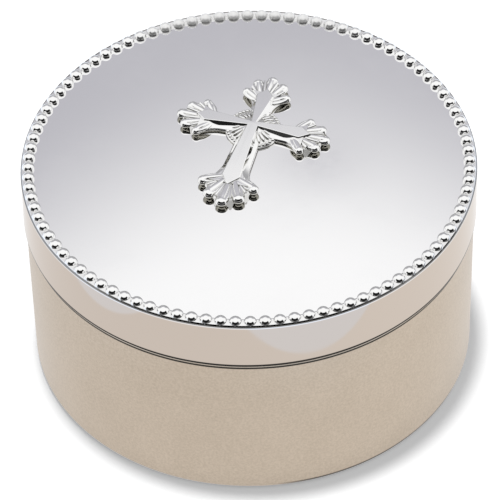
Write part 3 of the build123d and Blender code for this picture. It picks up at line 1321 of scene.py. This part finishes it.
SMALL_FAN = Fan(ball=0.75, near_side=2.2, near_back=1.2, end_side=3.45, end_back=3.6)
FOOT_FAN = Fan(ball=0.85, near_side=2.6, near_back=1.35, end_side=4.4, end_back=4.1)
HEAD = Arm(
    turn=0,
    reach=11.6,
    shoulder=7.0,
    point=8.6,
    root_half=0.35,
    kite_half=1.35,
    waist=1.7,
    waist_end=1.8,
    flare_start=4.9,
    fan_start=6.0,
    fan=SMALL_FAN,
)
SIDE = Arm(
    turn=90,
    reach=12.6,
    shoulder=8.2,
    point=9.8,
    root_half=0.35,
    kite_half=1.22,
    waist=1.7,
    waist_end=1.88,
    flare_start=5.3,
    fan_start=6.8,
    fan=SMALL_FAN,
)
FOOT = Arm(
    turn=180,
    reach=18.7,
    shoulder=13.1,
    point=15.0,
    root_half=0.85,
    kite_half=1.5,
    waist=1.9,
    waist_end=2.35,
    flare_start=9.5,
    fan_start=12.6,
    fan=FOOT_FAN,
)


@dataclass
class Cross:
    """Cast cross: sloping arms, a raised kite on each, fans of petals and a rosette."""

    centre: tuple[float, float] = (-1.6, 8.1)
    edge: float = 0.7  # height of the arms' rounded outer edge above the lid
    edge_under: float = 0.3  # rounding of the edge's lower half
    edge_over: float = 0.12  # how far its upper half draws in
    edge_curve: float = 2.5  # power: the higher, the later it draws in
    edge_stops: tuple[float, ...] = (0.35, 0.65, 0.85, 1.0)  # shares of that half's height
    slope: float = 0.72  # rise of the arms from their edges to their middles
    slope_stops: tuple[float, ...] = (0.12, 0.35, 0.6, 0.85, 1.0)  # shares of the way up
    ridge: float = 1.5  # highest level that they reach
    ridge_half: float = 0.1  # least half width of their flat middle
    ridge_keel: float = 0.02  # how much higher its middle line is
    kite_root: float = 1.8  # height of its top at the crossing
    kite_top: float = 1.76  # height of its top at its point
    kite_draft: float = 27.0  # degrees that its flanks lean
    kite_foot: float = 0.6  # level where they end, inside the arm
    kite_edge: float = 0.06
    fan_floor: float = 1.05
    fan_root: float = 0.8  # width of its floor where it starts, as a share of the arm's
    fan_edge: float = 0.15
    petal_root: float = 0.45
    petal_rise: float = 0.25  # how much lower a petal's crest starts than its nose
    petal_swell: float = 0.6
    petal_keel: float = 1.5  # over 1, the petals' crests are sharper
    petal_level: float = 1.02  # height of a petal's widest level where it starts
    petal_spread: float = 0.1  # how far aside a petal starts, as a share of its nose's place
    petal_end: float = 1.05  # nose of the outer petals, as a share of their balls
    nose_inset: float = 0.97  # width of a petal's ridge at its nose, as a share of the nose's
    crest_inset: float = 0.985  # height of a ridge's crest, as a share of what it joins
    rib_share: float = 0.97  # length of the ribs between petals, as a share of the way to the gap
    rib_half: float = 0.24
    rib_crown: float = 1.5
    rib_depth: float = 0.35  # from its crown down to its widest level
    petal_wide: float = 1.22  # a petal's nose, as a share of its ball
    flute: float = 0.28  # depth of the two grooves along a petal, as a share of its section
    flute_at: float = 34.0  # degrees from its crest
    flute_width: float = 10.0  # degrees
    flute_fade: tuple[float, float] = (0.1, 0.15)  # in and out, as shares of its length
    rosette: float = 4.7
    rosette_edge: float = 0.5
    rosette_bevel: float = 0.1
    rosette_foot: float = 0.05  # how far its underside is drawn in
    rosette_ring: float = 0.75  # width of the flat ring under the grains
    rosette_crown: float = 1.75
    rosette_curve: float = 1.3  # power: the higher, the rounder its dome
    stud: float = 0.75
    stud_length: float = 2.2
    stud_lead: float = 0.12
    stud_root: float = 0.3  # height inside the arms where they start
    stud_head_at: float = 6.5
    stud_foot_at: float = 9.0
    grains: DomeRing = field(
        default_factory=lambda: DomeRing(
            count=42, radius=0.31, circle=4.34, level=0.5, sink=0.3, segments=20, rings=12
        )
    )
    leaves: DomeRing = field(
        default_factory=lambda: DomeRing(
            count=28,
            radius=0.36,
            circle=2.95,
            level=0.98,
            sink=0.3,
            first_turn=6.4,
            stretch=(2.7, 0.78, 0.8),
            tilt=17.0,
            segments=24,
            rings=12,
        )
    )
    arms: tuple[Arm, ...] = field(init=False)

    def __post_init__(self) -> None:
        """Lists the four arms."""
        self.arms = (HEAD, SIDE, replace(SIDE, turn=-SIDE.turn), FOOT)

    @staticmethod
    def _solid(
        name: str, levels: Sequence[Sequence[Vector]], edge: float = 0.0
    ) -> bpy.types.Object:
        """Makes one closed solid of rings.

        Args:
            name: A name for the solid.
            levels: Its rings.
            edge: Rounding of the edges round its last ring.

        Returns:
            The solid, not linked to any body.
        """
        shape = bmesh.new()
        prism(shape, levels)
        if edge:
            shape.faces.ensure_lookup_table()
            top = list(shape.faces[-1].edges)
            bmesh.ops.bevel(shape, geom=top, offset=edge, segments=1, affect="EDGES")
        return finish_mesh(shape, name)

    def _limb(self, arm: Arm) -> bpy.types.Object:
        """Builds an arm's body, which slopes from its middle down to a low outer edge.

        Args:
            arm: The arm.

        Returns:
            The arm's body.
        """
        steps = 16
        end = arm.reach - arm.fan.end_back
        rings = []
        for step in range(steps + 1):
            along = end * step / steps
            half = arm.half_width(along)
            under = self.edge_under
            right = []
            for turn in range(-90, 1, 18):
                across, up = math.cos(math.radians(turn)), math.sin(math.radians(turn))
                right.append(Vector((half + under * (across - 1), along, under * (1 + up))))
            for share in self.edge_stops:
                across = half - self.edge_over * share**self.edge_curve
                right.append(Vector((across, along, under + (self.edge - under) * share)))
            inset = half - self.edge_over
            shelf = max(inset - (self.ridge - self.edge) / self.slope, self.ridge_half)
            for share in self.slope_stops:
                across = inset + (shelf - half + self.edge_over) * share
                height = self.edge + (inset - across) * self.slope
                right.append(Vector((across, along, height)))
            middle = Vector((0.0, along, right[-1].z + self.ridge_keel))
            left = [Vector((-point.x, along, point.z)) for point in reversed(right)]
            rings.append([*right, middle, *left])
        return self._solid("limb", rings)

    def _fan_floor(self, arm: Arm) -> bpy.types.Object:
        """Builds the floor between the petals of a fan.

        Args:
            arm: The arm.

        Returns:
            The floor.
        """
        balls = arm.balls()
        start = arm.fan_start
        half = arm.half_width(start) * self.fan_root
        outline = [Vector((half, start)), *reversed(balls), Vector((-half, start))]
        low = [Vector((p.x, p.y, 0.0)) for p in outline]
        high = [Vector((p.x, p.y, self.fan_floor)) for p in outline]
        return self._solid("fan", [low, high], self.fan_edge)

    def _kite(self, arm: Arm) -> bpy.types.Object:
        """Builds the raised kite of an arm, whose top is one sloping plane.

        Args:
            arm: The arm.

        Returns:
            The kite.
        """
        slope = (self.kite_top - self.kite_root) / arm.point
        outline = [
            Vector((-arm.root_half, 0.0)),
            Vector((arm.root_half, 0.0)),
            Vector((arm.kite_half, arm.shoulder)),
            Vector((0.0, arm.point)),
            Vector((-arm.kite_half, arm.shoulder)),
        ]
        top = [Vector((p.x, p.y, self.kite_root + slope * p.y)) for p in outline]
        lean = math.tan(math.radians(self.kite_draft))
        low = []
        for place, point in enumerate(top):
            before, after = top[place - 1], top[(place + 1) % len(top)]
            first = (point - before).to_2d().normalized()
            second = (after - point).to_2d().normalized()
            out = Vector((first.y + second.y, -first.x - second.x)).normalized()
            half = math.cos(first.angle(second) / 2)
            spread = out * ((point.z - self.kite_foot) * lean / half)
            low.append(Vector((point.x + spread.x, point.y + spread.y, self.kite_foot)))
        return self._solid("kite", [low, top], self.kite_edge)

    def _ridge(
        self, start: Vector, end: Vector, half: float, crown: float, middle: float
    ) -> bpy.types.Object:
        """Builds a keeled ridge that swells on its way out from an arm.

        A ridge that is wider than a rib is a petal's, and has the two grooves.

        Args:
            start: Where it starts, as (across, along).
            end: Where it ends.
            half: Half width at its end.
            crown: Height of its top at its end.
            middle: Height of its widest level there.

        Returns:
            The ridge.
        """
        run = (end - start).normalized()
        side = Vector((run.y, -run.x, 0.0))
        sides, steps = 60, 12
        turns = [math.tau * k / sides for k in range(sides)]
        root = min(self.petal_root, half)
        fade_in, fade_out = self.flute_fade
        rings = []
        for step in range(steps + 1):
            share = step / steps
            place = start.lerp(end, share)
            swell = 1 + self.petal_swell * math.sin(math.pi * share)
            wide = (root + (half - root) * share) * swell
            top = crown - self.petal_rise * (1 - share) ** 2
            level = self.petal_level + (middle - self.petal_level) * share**3
            centre = Vector((place.x, place.y, level))
            tall = Vector((0, 0, (top - level) * self.crest_inset))
            keel = self.petal_keel + (1 - self.petal_keel) * share**2
            fade = min(1.0, (1 - share) / fade_out, share / fade_in)
            depth = fade * self.flute if half > self.rib_half else 0.0
            ring = []
            for turn in turns:
                rise = math.sin(turn) if math.sin(turn) < 0 else math.sin(turn) ** keel
                off = (abs(math.degrees(turn) - 90) - self.flute_at) / self.flute_width
                cut = 1 - depth * math.exp(-off * off)
                ring.append(centre + (side * (wide * math.cos(turn)) + tall * rise) * cut)
            rings.append(ring)
        return self._solid("petal", rings)

    def _petal(self, arm: Arm, ball: Vector, wide: float) -> list[bpy.types.Object]:
        """Builds one petal of a fan: a ridge that widens from the kite and ends in a round nose.

        Args:
            arm: The arm.
            ball: Centre of the petal's nose, as (across, along).
            wide: Half width of the nose, as a share of its height.

        Returns:
            The petal's solids.
        """
        size = arm.fan.ball
        start = Vector((ball.x * self.petal_spread, arm.fan_start))
        run = (ball - start).normalized()
        ridge = self._ridge(start, ball, size * wide * self.nose_inset, 2 * size, size)
        shape = bmesh.new()
        bmesh.ops.create_uvsphere(shape, u_segments=32, v_segments=20, radius=size)
        bmesh.ops.scale(shape, vec=(wide, 1.0, 1.0), verts=shape.verts)
        bearing = Matrix.Rotation(math.atan2(-run.x, run.y), 4, "Z")
        bmesh.ops.transform(shape, matrix=bearing, verts=shape.verts)
        bmesh.ops.translate(shape, vec=(ball.x, ball.y, size), verts=shape.verts)
        return [ridge, finish_mesh(shape, "nose")]

    def _rib(self, arm: Arm, gap: Vector) -> bpy.types.Object:
        """Builds the slim rib in the valley between two petals.

        Args:
            arm: The arm.
            gap: Halfway between the petals' noses, as (across, along).

        Returns:
            The rib.
        """
        start = Vector((gap.x * self.petal_spread, arm.fan_start))
        end = start.lerp(gap, self.rib_share)
        middle = self.rib_crown - self.rib_depth
        return self._ridge(start, end, self.rib_half, self.rib_crown, middle)

    def _rosette(self) -> bpy.types.Object:
        """Builds the domed rosette behind the crossing, with its grains and leaves.

        Returns:
            The rosette.
        """
        bevel = self.rosette_bevel
        corners = [
            Vector((0, 0.0)),
            Vector((self.rosette - self.rosette_foot, 0.0)),
            Vector((self.rosette, bevel)),
            Vector((self.rosette, self.rosette_edge - bevel)),
            Vector((self.rosette - bevel, self.rosette_edge)),
        ]
        steps = 12
        rise = self.rosette_crown - self.rosette_edge
        for step in range(1, steps):
            share = 1 - step / steps
            height = self.rosette_edge + rise * (1 - share**self.rosette_curve)
            corners.append(Vector(((self.rosette - self.rosette_ring) * share, height)))
        corners.append(Vector((0, self.rosette_crown)))
        disc = lathe("rosette", corners, 96)
        plain = bpy.data.materials["cross_plate"]
        return self.leaves.apply(self.grains.apply(disc, plain), plain)

    def _studs(self) -> list[bpy.types.Object]:
        """Builds the two studs under the cross.

        Returns:
            The studs.
        """
        sides = 40
        turns = [math.tau * k / sides for k in range(sides)]
        levels = [
            (self.stud - self.stud_lead, -self.stud_length),
            (self.stud, -self.stud_length + self.stud_lead),
            (self.stud, self.stud_root),
        ]
        made = []
        for along in (self.stud_head_at, -self.stud_foot_at):
            rings = []
            for radius, height in levels:
                spots = [(radius * math.cos(a), radius * math.sin(a) + along) for a in turns]
                rings.append([Vector((*spot, height)) for spot in spots])
            made.append(self._solid("stud", rings))
        return made

    def mesh(self) -> bpy.types.Object:
        """Builds the whole casting as one closed solid.

        Returns:
            The cross, in its place on the lid.
        """
        parts = [self._rosette(), *self._studs()]
        for arm in self.arms:
            turn = Matrix.Rotation(math.radians(arm.turn), 4, "Z")
            limbs = [self._limb(arm), self._fan_floor(arm), self._kite(arm)]
            balls = arm.balls()
            for ball in balls:
                at_end = ball in (balls[0], balls[-1])
                limbs += self._petal(arm, ball, self.petal_end if at_end else self.petal_wide)
            for one, other in zip(balls, balls[1:]):
                limbs.append(self._rib(arm, (one + other) / 2))
            for limb in limbs:
                limb.data.transform(turn)
            parts += limbs
        made = weld("altar_cross", parts)
        level = span("lid_shell").high.z
        made.data.transform(Matrix.Translation(Vector((*self.centre, level)) * MM))
        return made


def weld(name: str, parts: Sequence[bpy.types.Object]) -> bpy.types.Object:
    """Joins closed solids into one.

    Args:
        name: The result's name.
        parts: The solids, which are removed.

    Returns:
        One closed solid.
    """
    gathered = bpy.data.collections.new(name)
    for part in parts:
        gathered.objects.link(part)
    tree = bpy.data.node_groups.new("weld", "GeometryNodeTree")
    tree.interface.new_socket("Geometry", in_out="OUTPUT", socket_type="NodeSocketGeometry")
    graph = Graph(tree)
    sources = {"Collection": gathered, "Separate Children": True}
    info = graph.add("GeometryNodeCollectionInfo", sources)
    joined = graph.add("GeometryNodeMeshBoolean", operation="UNION", solver="MANIFOLD")
    tree.links.new(info.outputs[0], joined.inputs["Mesh 2"])
    graph.add("NodeGroupOutput", {0: joined.outputs[0]})
    holder = bpy.data.objects.new(name, bpy.data.meshes.new(name))
    bpy.context.scene.collection.objects.link(holder)
    holder.modifiers.new("weld", "NODES").node_group = tree
    made = evaluated(holder, name)
    for part in parts:
        bpy.data.objects.remove(part)
    bpy.data.collections.remove(gathered)
    smooth(made.data, CHASED)
    return made


# ---------------------------------------------------------------------------
# Lid
# ---------------------------------------------------------------------------


@dataclass
class LidBody:
    """Drawn lid with its bead border, its cross and its velvet lining."""

    wall: float = 0.9
    edge_round: float = 0.1
    rim_round: float = 0.14
    inner_round: float = 0.1
    stud_hole: float = 0.8
    strip_outer: float = 37.9
    strip_width: float = 1.9
    strip_height: float = 0.3
    strip_bevel: tuple[float, float] = (0.15, 0.28)  # across and down, on its outside
    strip_slope: float = 0.4  # width of its sloping inner edge
    strip_round: tuple[float, float] = (0.03, 0.1)  # roundings of its outer and inner edges
    bead_count: int = 96
    bead_radius: float = 1.1
    bead_sink: float = 0.3  # of its centre, below the strip's face
    bead_first: float = -1.8  # bearing of the first one, anticlockwise from +X
    strip_lip: float = -0.05  # from their feet out to the strip's bevel
    velvet: float = 0.6
    cross: Cross = field(default_factory=Cross)

    def shell(self) -> bpy.types.Object:
        """Builds the drawn lid, with two holes for the studs of the cross.

        Returns:
            The lid.
        """
        low, high = span("lid_shell")
        inner, ceiling = high.x - self.wall, high.z - self.wall
        corners = [
            Corner(0, ceiling),
            Corner(inner, ceiling),
            Corner(inner, low.z, self.inner_round),
            Corner(high.x, low.z, self.rim_round),
            Corner(high.x, high.z, self.edge_round),
            Corner(0, high.z),
        ]
        made = lathe("lid_cover", rounded(corners, 8))
        drills = []
        over = 1.0  # how far a drill reaches beyond the plate
        x, y = self.cross.centre
        for along in (self.cross.stud_head_at, -self.cross.stud_foot_at):
            outline = [
                Vector((0, ceiling - over)),
                Vector((self.stud_hole, ceiling - over)),
                Vector((self.stud_hole, high.z + over)),
                Vector((0, high.z + over)),
            ]
            drill = lathe("drill", outline, 48)
            drill.data.transform(Matrix.Translation(Vector((x, y + along, 0)) * MM))
            cut = made.modifiers.new("hole", "BOOLEAN")
            cut.operation, cut.solver, cut.object = "DIFFERENCE", "MANIFOLD", drill
            drills.append(drill)
        made = evaluated(made, "lid_cover")
        for drill in drills:
            bpy.data.objects.remove(drill)
        smooth(made.data, SHARP)
        return made

    def border(self, material: bpy.types.Material) -> bpy.types.Object:
        """Builds the strip of half-round beads.

        Args:
            material: The beads' material.

        Returns:
            The border.
        """
        outer = self.strip_outer
        level = span("lid_shell").high.z
        face = level + self.strip_height
        across, down = self.strip_bevel
        outer_round, inner_round = self.strip_round
        corners = [
            Corner(outer - self.strip_width, level),
            Corner(outer, level),
            Corner(outer, face - down, outer_round),
            Corner(outer - across, face, outer_round),
            Corner(outer - self.strip_width + self.strip_slope, face, inner_round),
        ]
        strip = lathe("bead_rim", rounded(corners, 3, 0.01), 384)
        foot = math.sqrt(self.bead_radius**2 - self.bead_sink**2)
        beads = DomeRing(
            count=self.bead_count,
            radius=self.bead_radius,
            circle=outer - across - self.strip_lip - foot,
            level=face - self.bead_sink,
            sink=0.0,
            first_turn=self.bead_first,
        )
        return beads.apply(strip, material)

    def lining(self) -> bpy.types.Object:
        """Builds the velvet under the card, turned up round its edge.

        Returns:
            The lining.
        """
        low, high = span("lid_velvet")
        card = high.x - self.velvet
        corners = [
            Corner(0, low.z + self.velvet),
            Corner(card, low.z + self.velvet),
            Corner(card, high.z),
            Corner(high.x, high.z),
            Corner(high.x, low.z, self.velvet / 2),
            Corner(0, low.z),
        ]
        return lathe("lid_lining", rounded(corners, 6), 360)

    def build(self, finishes: Finishes) -> None:
        """Args:
            finishes: The materials, by slot.
        """
        dress(self.shell(), Body.LID, Finish.LID_PLATE, finishes, "lid_shell")
        border = self.border(finishes[Finish.BEAD_PLATE])
        dress(border, Body.LID, Finish.BEAD_PLATE, finishes, "bead_border")
        dress(self.cross.mesh(), Body.LID, Finish.CROSS_PLATE, finishes, "cross")
        lining = dress(self.lining(), Body.LID, Finish.VELVET, finishes, "lid_velvet")
        repaint("push_nuts", finishes[Finish.SPRING_STEEL])
        repaint("lid_wadding", finishes[Finish.WADDING])
        repaint("lid_card", finishes[Finish.CARD])


# ---------------------------------------------------------------------------
# Studio
# ---------------------------------------------------------------------------


@dataclass
class Studio:
    """White floor, a soft-box sky with a dark doorway, one high lamp and the camera."""

    azimuth: float = 17.6  # where the camera stands, in degrees from -Y towards +X
    elevation: float = 44.9
    roll: float = -1.47
    distance: float = 850.0
    aim: tuple[float, float, float] = (-0.234, 0.185, 18.975)
    lens: float = 361.4
    clip_end: float = 100000.0
    white: Colour = (0.99, 0.99, 0.99)
    grey: Colour = (0.512, 0.507, 0.545)
    low_grey: Colour = (0.38, 0.38, 0.39)
    grey_rise: tuple[float, float] = (24.0, 36.0)  # elevations between which it turns to grey
    horizon: Colour = (0.75, 0.75, 0.75)
    horizon_top: float = 10.0  # elevation where it has turned to white
    dark: Colour = (0.012, 0.012, 0.012)
    low_dark: Colour = (0.30, 0.30, 0.30)
    sill: float = 5.0  # elevation below which the doorway is low_dark
    sill_soft: float = 4.0
    sill_half: float = 22.0  # degrees to each side that stay dark below the sill
    edge: float = 43.715  # degrees of elevation where the soft-box starts, straight behind
    edge_turn: float = 0.6  # bearing of its lowest place
    edge_lift: float = 3.0  # how much higher it is to both sides
    edge_width: float = 6.0  # half width of the low part
    edge_soft: float = 1.5
    haze: tuple[float, float] = (1.12, 43.925)  # bearing and elevation of a smudge, in degrees
    haze_width: tuple[float, float] = (0.6, 0.22)
    haze_share: float = 0.7
    wall_half: float = 48.0  # degrees that the grey wall takes to each side of straight behind
    wall_soft: float = 10.0
    door_half: float = 68.0  # degrees to each side of the camera
    door_soft: float = 8.0
    door_top: float = 44.0
    door_top_soft: float = 2.5
    floor_drop: float = 0.02  # below the foot pad, so that their faces never coincide
    floor_half: float = 6000.0
    paper: Colour = (0.86, 0.86, 0.86)
    paper_lift: float = 0.36  # light that the floor adds for the camera
    shade_share: float = 0.15  # how much of the floor's shading the plate reflects
    sheet_half: float = 68.3
    sheet_soft: float = 0.4
    sheet_turn: float = 24.2  # degrees from the camera's bearing
    sheet_blend: float = 100.0  # from its middle line to each of its two tones
    sheet_left: Colour = (0.94, 0.93, 0.93)
    sheet_right: Colour = (1.04, 1.03, 1.02)
    beyond: Colour = (1.0, 1.075, 1.195)
    table_end: tuple[float, float] = (135.0, 148.5)  # from the axis: turns dark and is dark
    table_ahead: float = 100.0  # over which that sets in, from the axis towards the camera
    lamp_tilt: float = 3.0  # degrees from straight above
    lamp_turn: float = 122.6  # the way it leans, in degrees from -Y towards -X
    lamp_angle: float = 5.0
    lamp_strength: float = 1.95
    fill: float = 0.4  # how much the sky lights matt surfaces

    def camera(self) -> None:
        """Makes the camera and points it at the box."""
        turn, rise = math.radians(self.azimuth), math.radians(self.elevation)
        back = Vector(
            (math.sin(turn) * math.cos(rise), -math.cos(turn) * math.cos(rise), math.sin(rise))
        )
        data = bpy.data.cameras.new("camera")
        data.lens = self.lens
        data.clip_end = self.clip_end * MM
        made = bpy.data.objects.new("camera", data)
        bpy.context.scene.collection.objects.link(made)
        made.location = (Vector(self.aim) + back * self.distance) * MM
        look = (-back).to_track_quat("-Z", "Y").to_matrix().to_4x4()
        tilt = Matrix.Rotation(math.radians(self.roll), 4, "Z")
        made.rotation_euler = (look @ tilt).to_euler()
        bpy.context.scene.camera = made

    def floor(self) -> None:
        """Makes the floor: white to the camera and in reflections, and clear from below."""
        shape = bmesh.new()
        bmesh.ops.create_grid(shape, x_segments=8, y_segments=8, size=self.floor_half)
        bmesh.ops.translate(shape, vec=(0.0, 0.0, -self.floor_drop), verts=shape.verts)
        made = finish_mesh(shape, "floor")
        if made.data.polygons[0].normal.z < 0:
            made.data.flip_normals()
        material = bpy.data.materials.new("floor_paper")
        material.use_nodes = True
        tree = material.node_tree
        tree.nodes.clear()
        graph = Graph(tree)
        paper = graph.add("ShaderNodeBsdfDiffuse", {"Color": (*self.paper, 1.0)})
        lift = graph.add("ShaderNodeEmission", {"Strength": self.paper_lift})
        seen = graph.add("ShaderNodeAddShader", {0: paper.outputs[0], 1: lift.outputs[0]})
        glow = graph.add("ShaderNodeEmission", {"Color": self._table(graph)})
        mirrored = graph.add(
            "ShaderNodeMixShader", {0: self.shade_share, 1: glow.outputs[0], 2: paper.outputs[0]}
        )
        path = graph.add("ShaderNodeLightPath")
        gloss = graph.math(
            "MAXIMUM", path.outputs["Is Glossy Ray"], path.outputs["Is Transmission Ray"]
        )
        first = {0: path.outputs["Is Camera Ray"], 1: paper.outputs[0], 2: seen.outputs[0]}
        plain = graph.add("ShaderNodeMixShader", first)
        second = {0: gloss, 1: plain.outputs[0], 2: mirrored.outputs[0]}
        above = graph.add("ShaderNodeMixShader", second)
        below = graph.add("ShaderNodeBsdfTransparent")
        back = graph.add("ShaderNodeNewGeometry").outputs["Backfacing"]
        third = {0: back, 1: above.outputs[0], 2: below.outputs[0]}
        result = graph.add("ShaderNodeMixShader", third)
        graph.add("ShaderNodeOutputMaterial", {"Surface": result.outputs[0]})
        made.data.materials.append(material)

    def _table(self, graph: Graph) -> bpy.types.NodeSocket:
        """Colours the table that the plate reflects: a square sheet, and cooler light beyond it.

        Args:
            graph: The graph that the nodes are added to.

        Returns:
            The colour.
        """
        axes = graph.turned(graph.place(), -self.azimuth - self.sheet_turn)
        sides = [graph.math("ABSOLUTE", axes[name]) for name in ("X", "Y")]
        reach = graph.math("MAXIMUM", *sides)
        tone = graph.ramp(axes["X"], -self.sheet_blend * MM, self.sheet_blend * MM)
        sheet = graph.mix(tone, self.sheet_left, self.sheet_right)
        low, high = self.sheet_half - self.sheet_soft, self.sheet_half + self.sheet_soft
        table = graph.mix(graph.ramp(reach, low * MM, high * MM), sheet, self.beyond)
        far = graph.ramp(reach, *(end * MM for end in self.table_end))
        ahead = graph.ramp(axes["Y"], 0.0, -self.table_ahead * MM)
        return graph.mix(graph.math("MULTIPLY", far, ahead), table, self.dark)

    def world(self) -> None:
        """Makes the sky: a soft-box above, grey behind the box and a dark doorway in front."""
        world = bpy.data.worlds.new("studio")
        bpy.context.scene.world = world
        world.use_nodes = True
        tree = world.node_tree
        tree.nodes.clear()
        graph = Graph(tree)
        way = graph.add("ShaderNodeTexCoord").outputs["Generated"]
        axes = graph.turned(way, -self.azimuth)
        rise = graph.math("DEGREES", graph.math("ARCSINE", axes["Z"]))
        along = graph.math("DEGREES", graph.math("ARCTAN2", axes["X"], axes["Y"]))
        aside = graph.math("ABSOLUTE", along)
        sides = graph.mix(graph.ramp(rise, 0.0, self.horizon_top), self.horizon, self.white)
        high, low = self.wall_half + self.wall_soft, self.wall_half - self.wall_soft
        sky = graph.mix(graph.ramp(aside, high, low), sides, self._far_wall(graph, along, rise))
        door, shade = self._doorway(graph, aside, rise)
        room = graph.mix(door, sky, shade)
        path = graph.add("ShaderNodeLightPath")
        level = graph.ramp(path.outputs["Is Diffuse Ray"], 0.0, 1.0, 1.0, self.fill)
        lit = graph.add("ShaderNodeBackground", {"Color": room, "Strength": level})
        clean = graph.add("ShaderNodeBackground", {"Color": (1.0, 1.0, 1.0, 1.0)})
        seen = {0: path.outputs["Is Camera Ray"], 1: lit.outputs[0], 2: clean.outputs[0]}
        result = graph.add("ShaderNodeMixShader", seen)
        graph.add("ShaderNodeOutputWorld", {"Surface": result.outputs[0]})

    def _far_wall(
        self, graph: Graph, along: bpy.types.NodeSocket, rise: bpy.types.NodeSocket
    ) -> bpy.types.NodeSocket:
        """Colours what stands behind the box: a grey wall with a soft-box over it.

        Args:
            graph: The world's graph.
            along: Bearing from straight behind the box, in degrees.
            rise: Elevation, in degrees.

        Returns:
            The colour.
        """
        off = graph.math("ABSOLUTE", graph.math("SUBTRACT", along, self.edge_turn))
        near = graph.math("POWER", graph.math("DIVIDE", off, self.edge_width), 2.0)
        dip = graph.math("EXPONENT", graph.math("MULTIPLY", near, -1.0))
        lower = graph.math("MULTIPLY", dip, self.edge_lift)
        edge = graph.math("SUBTRACT", self.edge + self.edge_lift, lower)
        share = graph.ramp(graph.math("SUBTRACT", rise, edge), -self.edge_soft, self.edge_soft)
        wall = graph.mix(graph.ramp(rise, *self.grey_rise), self.low_grey, self.grey)
        lit = graph.mix(share, wall, self.white)
        return graph.mix(self._haze(graph, along, rise), lit, self.grey)

    def _doorway(
        self, graph: Graph, aside: bpy.types.NodeSocket, rise: bpy.types.NodeSocket
    ) -> tuple[bpy.types.NodeSocket, bpy.types.NodeSocket]:
        """Makes the dark doorway that the camera stands in.

        Args:
            graph: The world's graph.
            aside: Bearing from straight behind the box to either side, in degrees.
            rise: Elevation, in degrees.

        Returns:
            Its mask and its colour.
        """
        jamb, soft = 180.0 - self.door_half, self.door_soft
        side = graph.ramp(aside, jamb - soft, jamb + soft)
        top_soft = self.door_top_soft
        high = graph.ramp(rise, self.door_top + top_soft, self.door_top - top_soft)
        above = graph.ramp(rise, self.sill - self.sill_soft, self.sill + self.sill_soft)
        sill_end = 180.0 - self.sill_half
        middle = graph.ramp(aside, sill_end - soft, sill_end + soft)
        shade = graph.mix(graph.math("MAXIMUM", above, middle), self.low_dark, self.dark)
        return graph.math("MULTIPLY", side, high), shade

    def _haze(
        self, graph: Graph, along: bpy.types.NodeSocket, rise: bpy.types.NodeSocket
    ) -> bpy.types.NodeSocket:
        """Makes the mask of a soft smudge on the far wall, which the lid mirrors.

        Args:
            graph: The world's graph.
            along: Bearing from straight behind the box, in degrees.
            rise: Elevation, in degrees.

        Returns:
            The mask.
        """
        terms = []
        for value, place, width in zip((along, rise), self.haze, self.haze_width):
            off = graph.math("DIVIDE", graph.math("SUBTRACT", value, place), width)
            terms.append(graph.math("POWER", graph.math("ABSOLUTE", off), 2.0))
        fall = graph.math("EXPONENT", graph.math("MULTIPLY", graph.math("ADD", *terms), -1.0))
        return graph.math("MULTIPLY", fall, self.haze_share)

    def lamp(self) -> None:
        """Makes the high lamp that casts the short shadow."""
        data = bpy.data.lights.new("key", "SUN")
        data.energy = self.lamp_strength
        data.angle = math.radians(self.lamp_angle)
        made = bpy.data.objects.new("key", data)
        made.visible_glossy = False
        bpy.context.scene.collection.objects.link(made)
        turn, tilt = math.radians(self.lamp_turn), math.radians(self.lamp_tilt)
        where = Vector(
            (-math.sin(turn) * math.sin(tilt), -math.cos(turn) * math.sin(tilt), math.cos(tilt))
        )
        made.rotation_euler = where.to_track_quat("Z", "Y").to_euler()
        made.location = where

    def build(self) -> None:
        """Builds the whole studio."""
        self.camera()
        self.floor()
        self.world()
        self.lamp()
        scene = bpy.context.scene
        scene.view_settings.view_transform = "Standard"
        scene.cycles.caustics_reflective = False
        scene.cycles.caustics_refractive = False


def main() -> None:
    """Builds the studio and the box, piece by piece."""
    logging.basicConfig(level=logging.INFO, format="%(name)s: %(message)s")
    Studio().build()
    finishes = Finishes(Effects())
    BaseBody().build(finishes)
    LidBody().build(finishes)


if __name__ == "__main__":
    main()
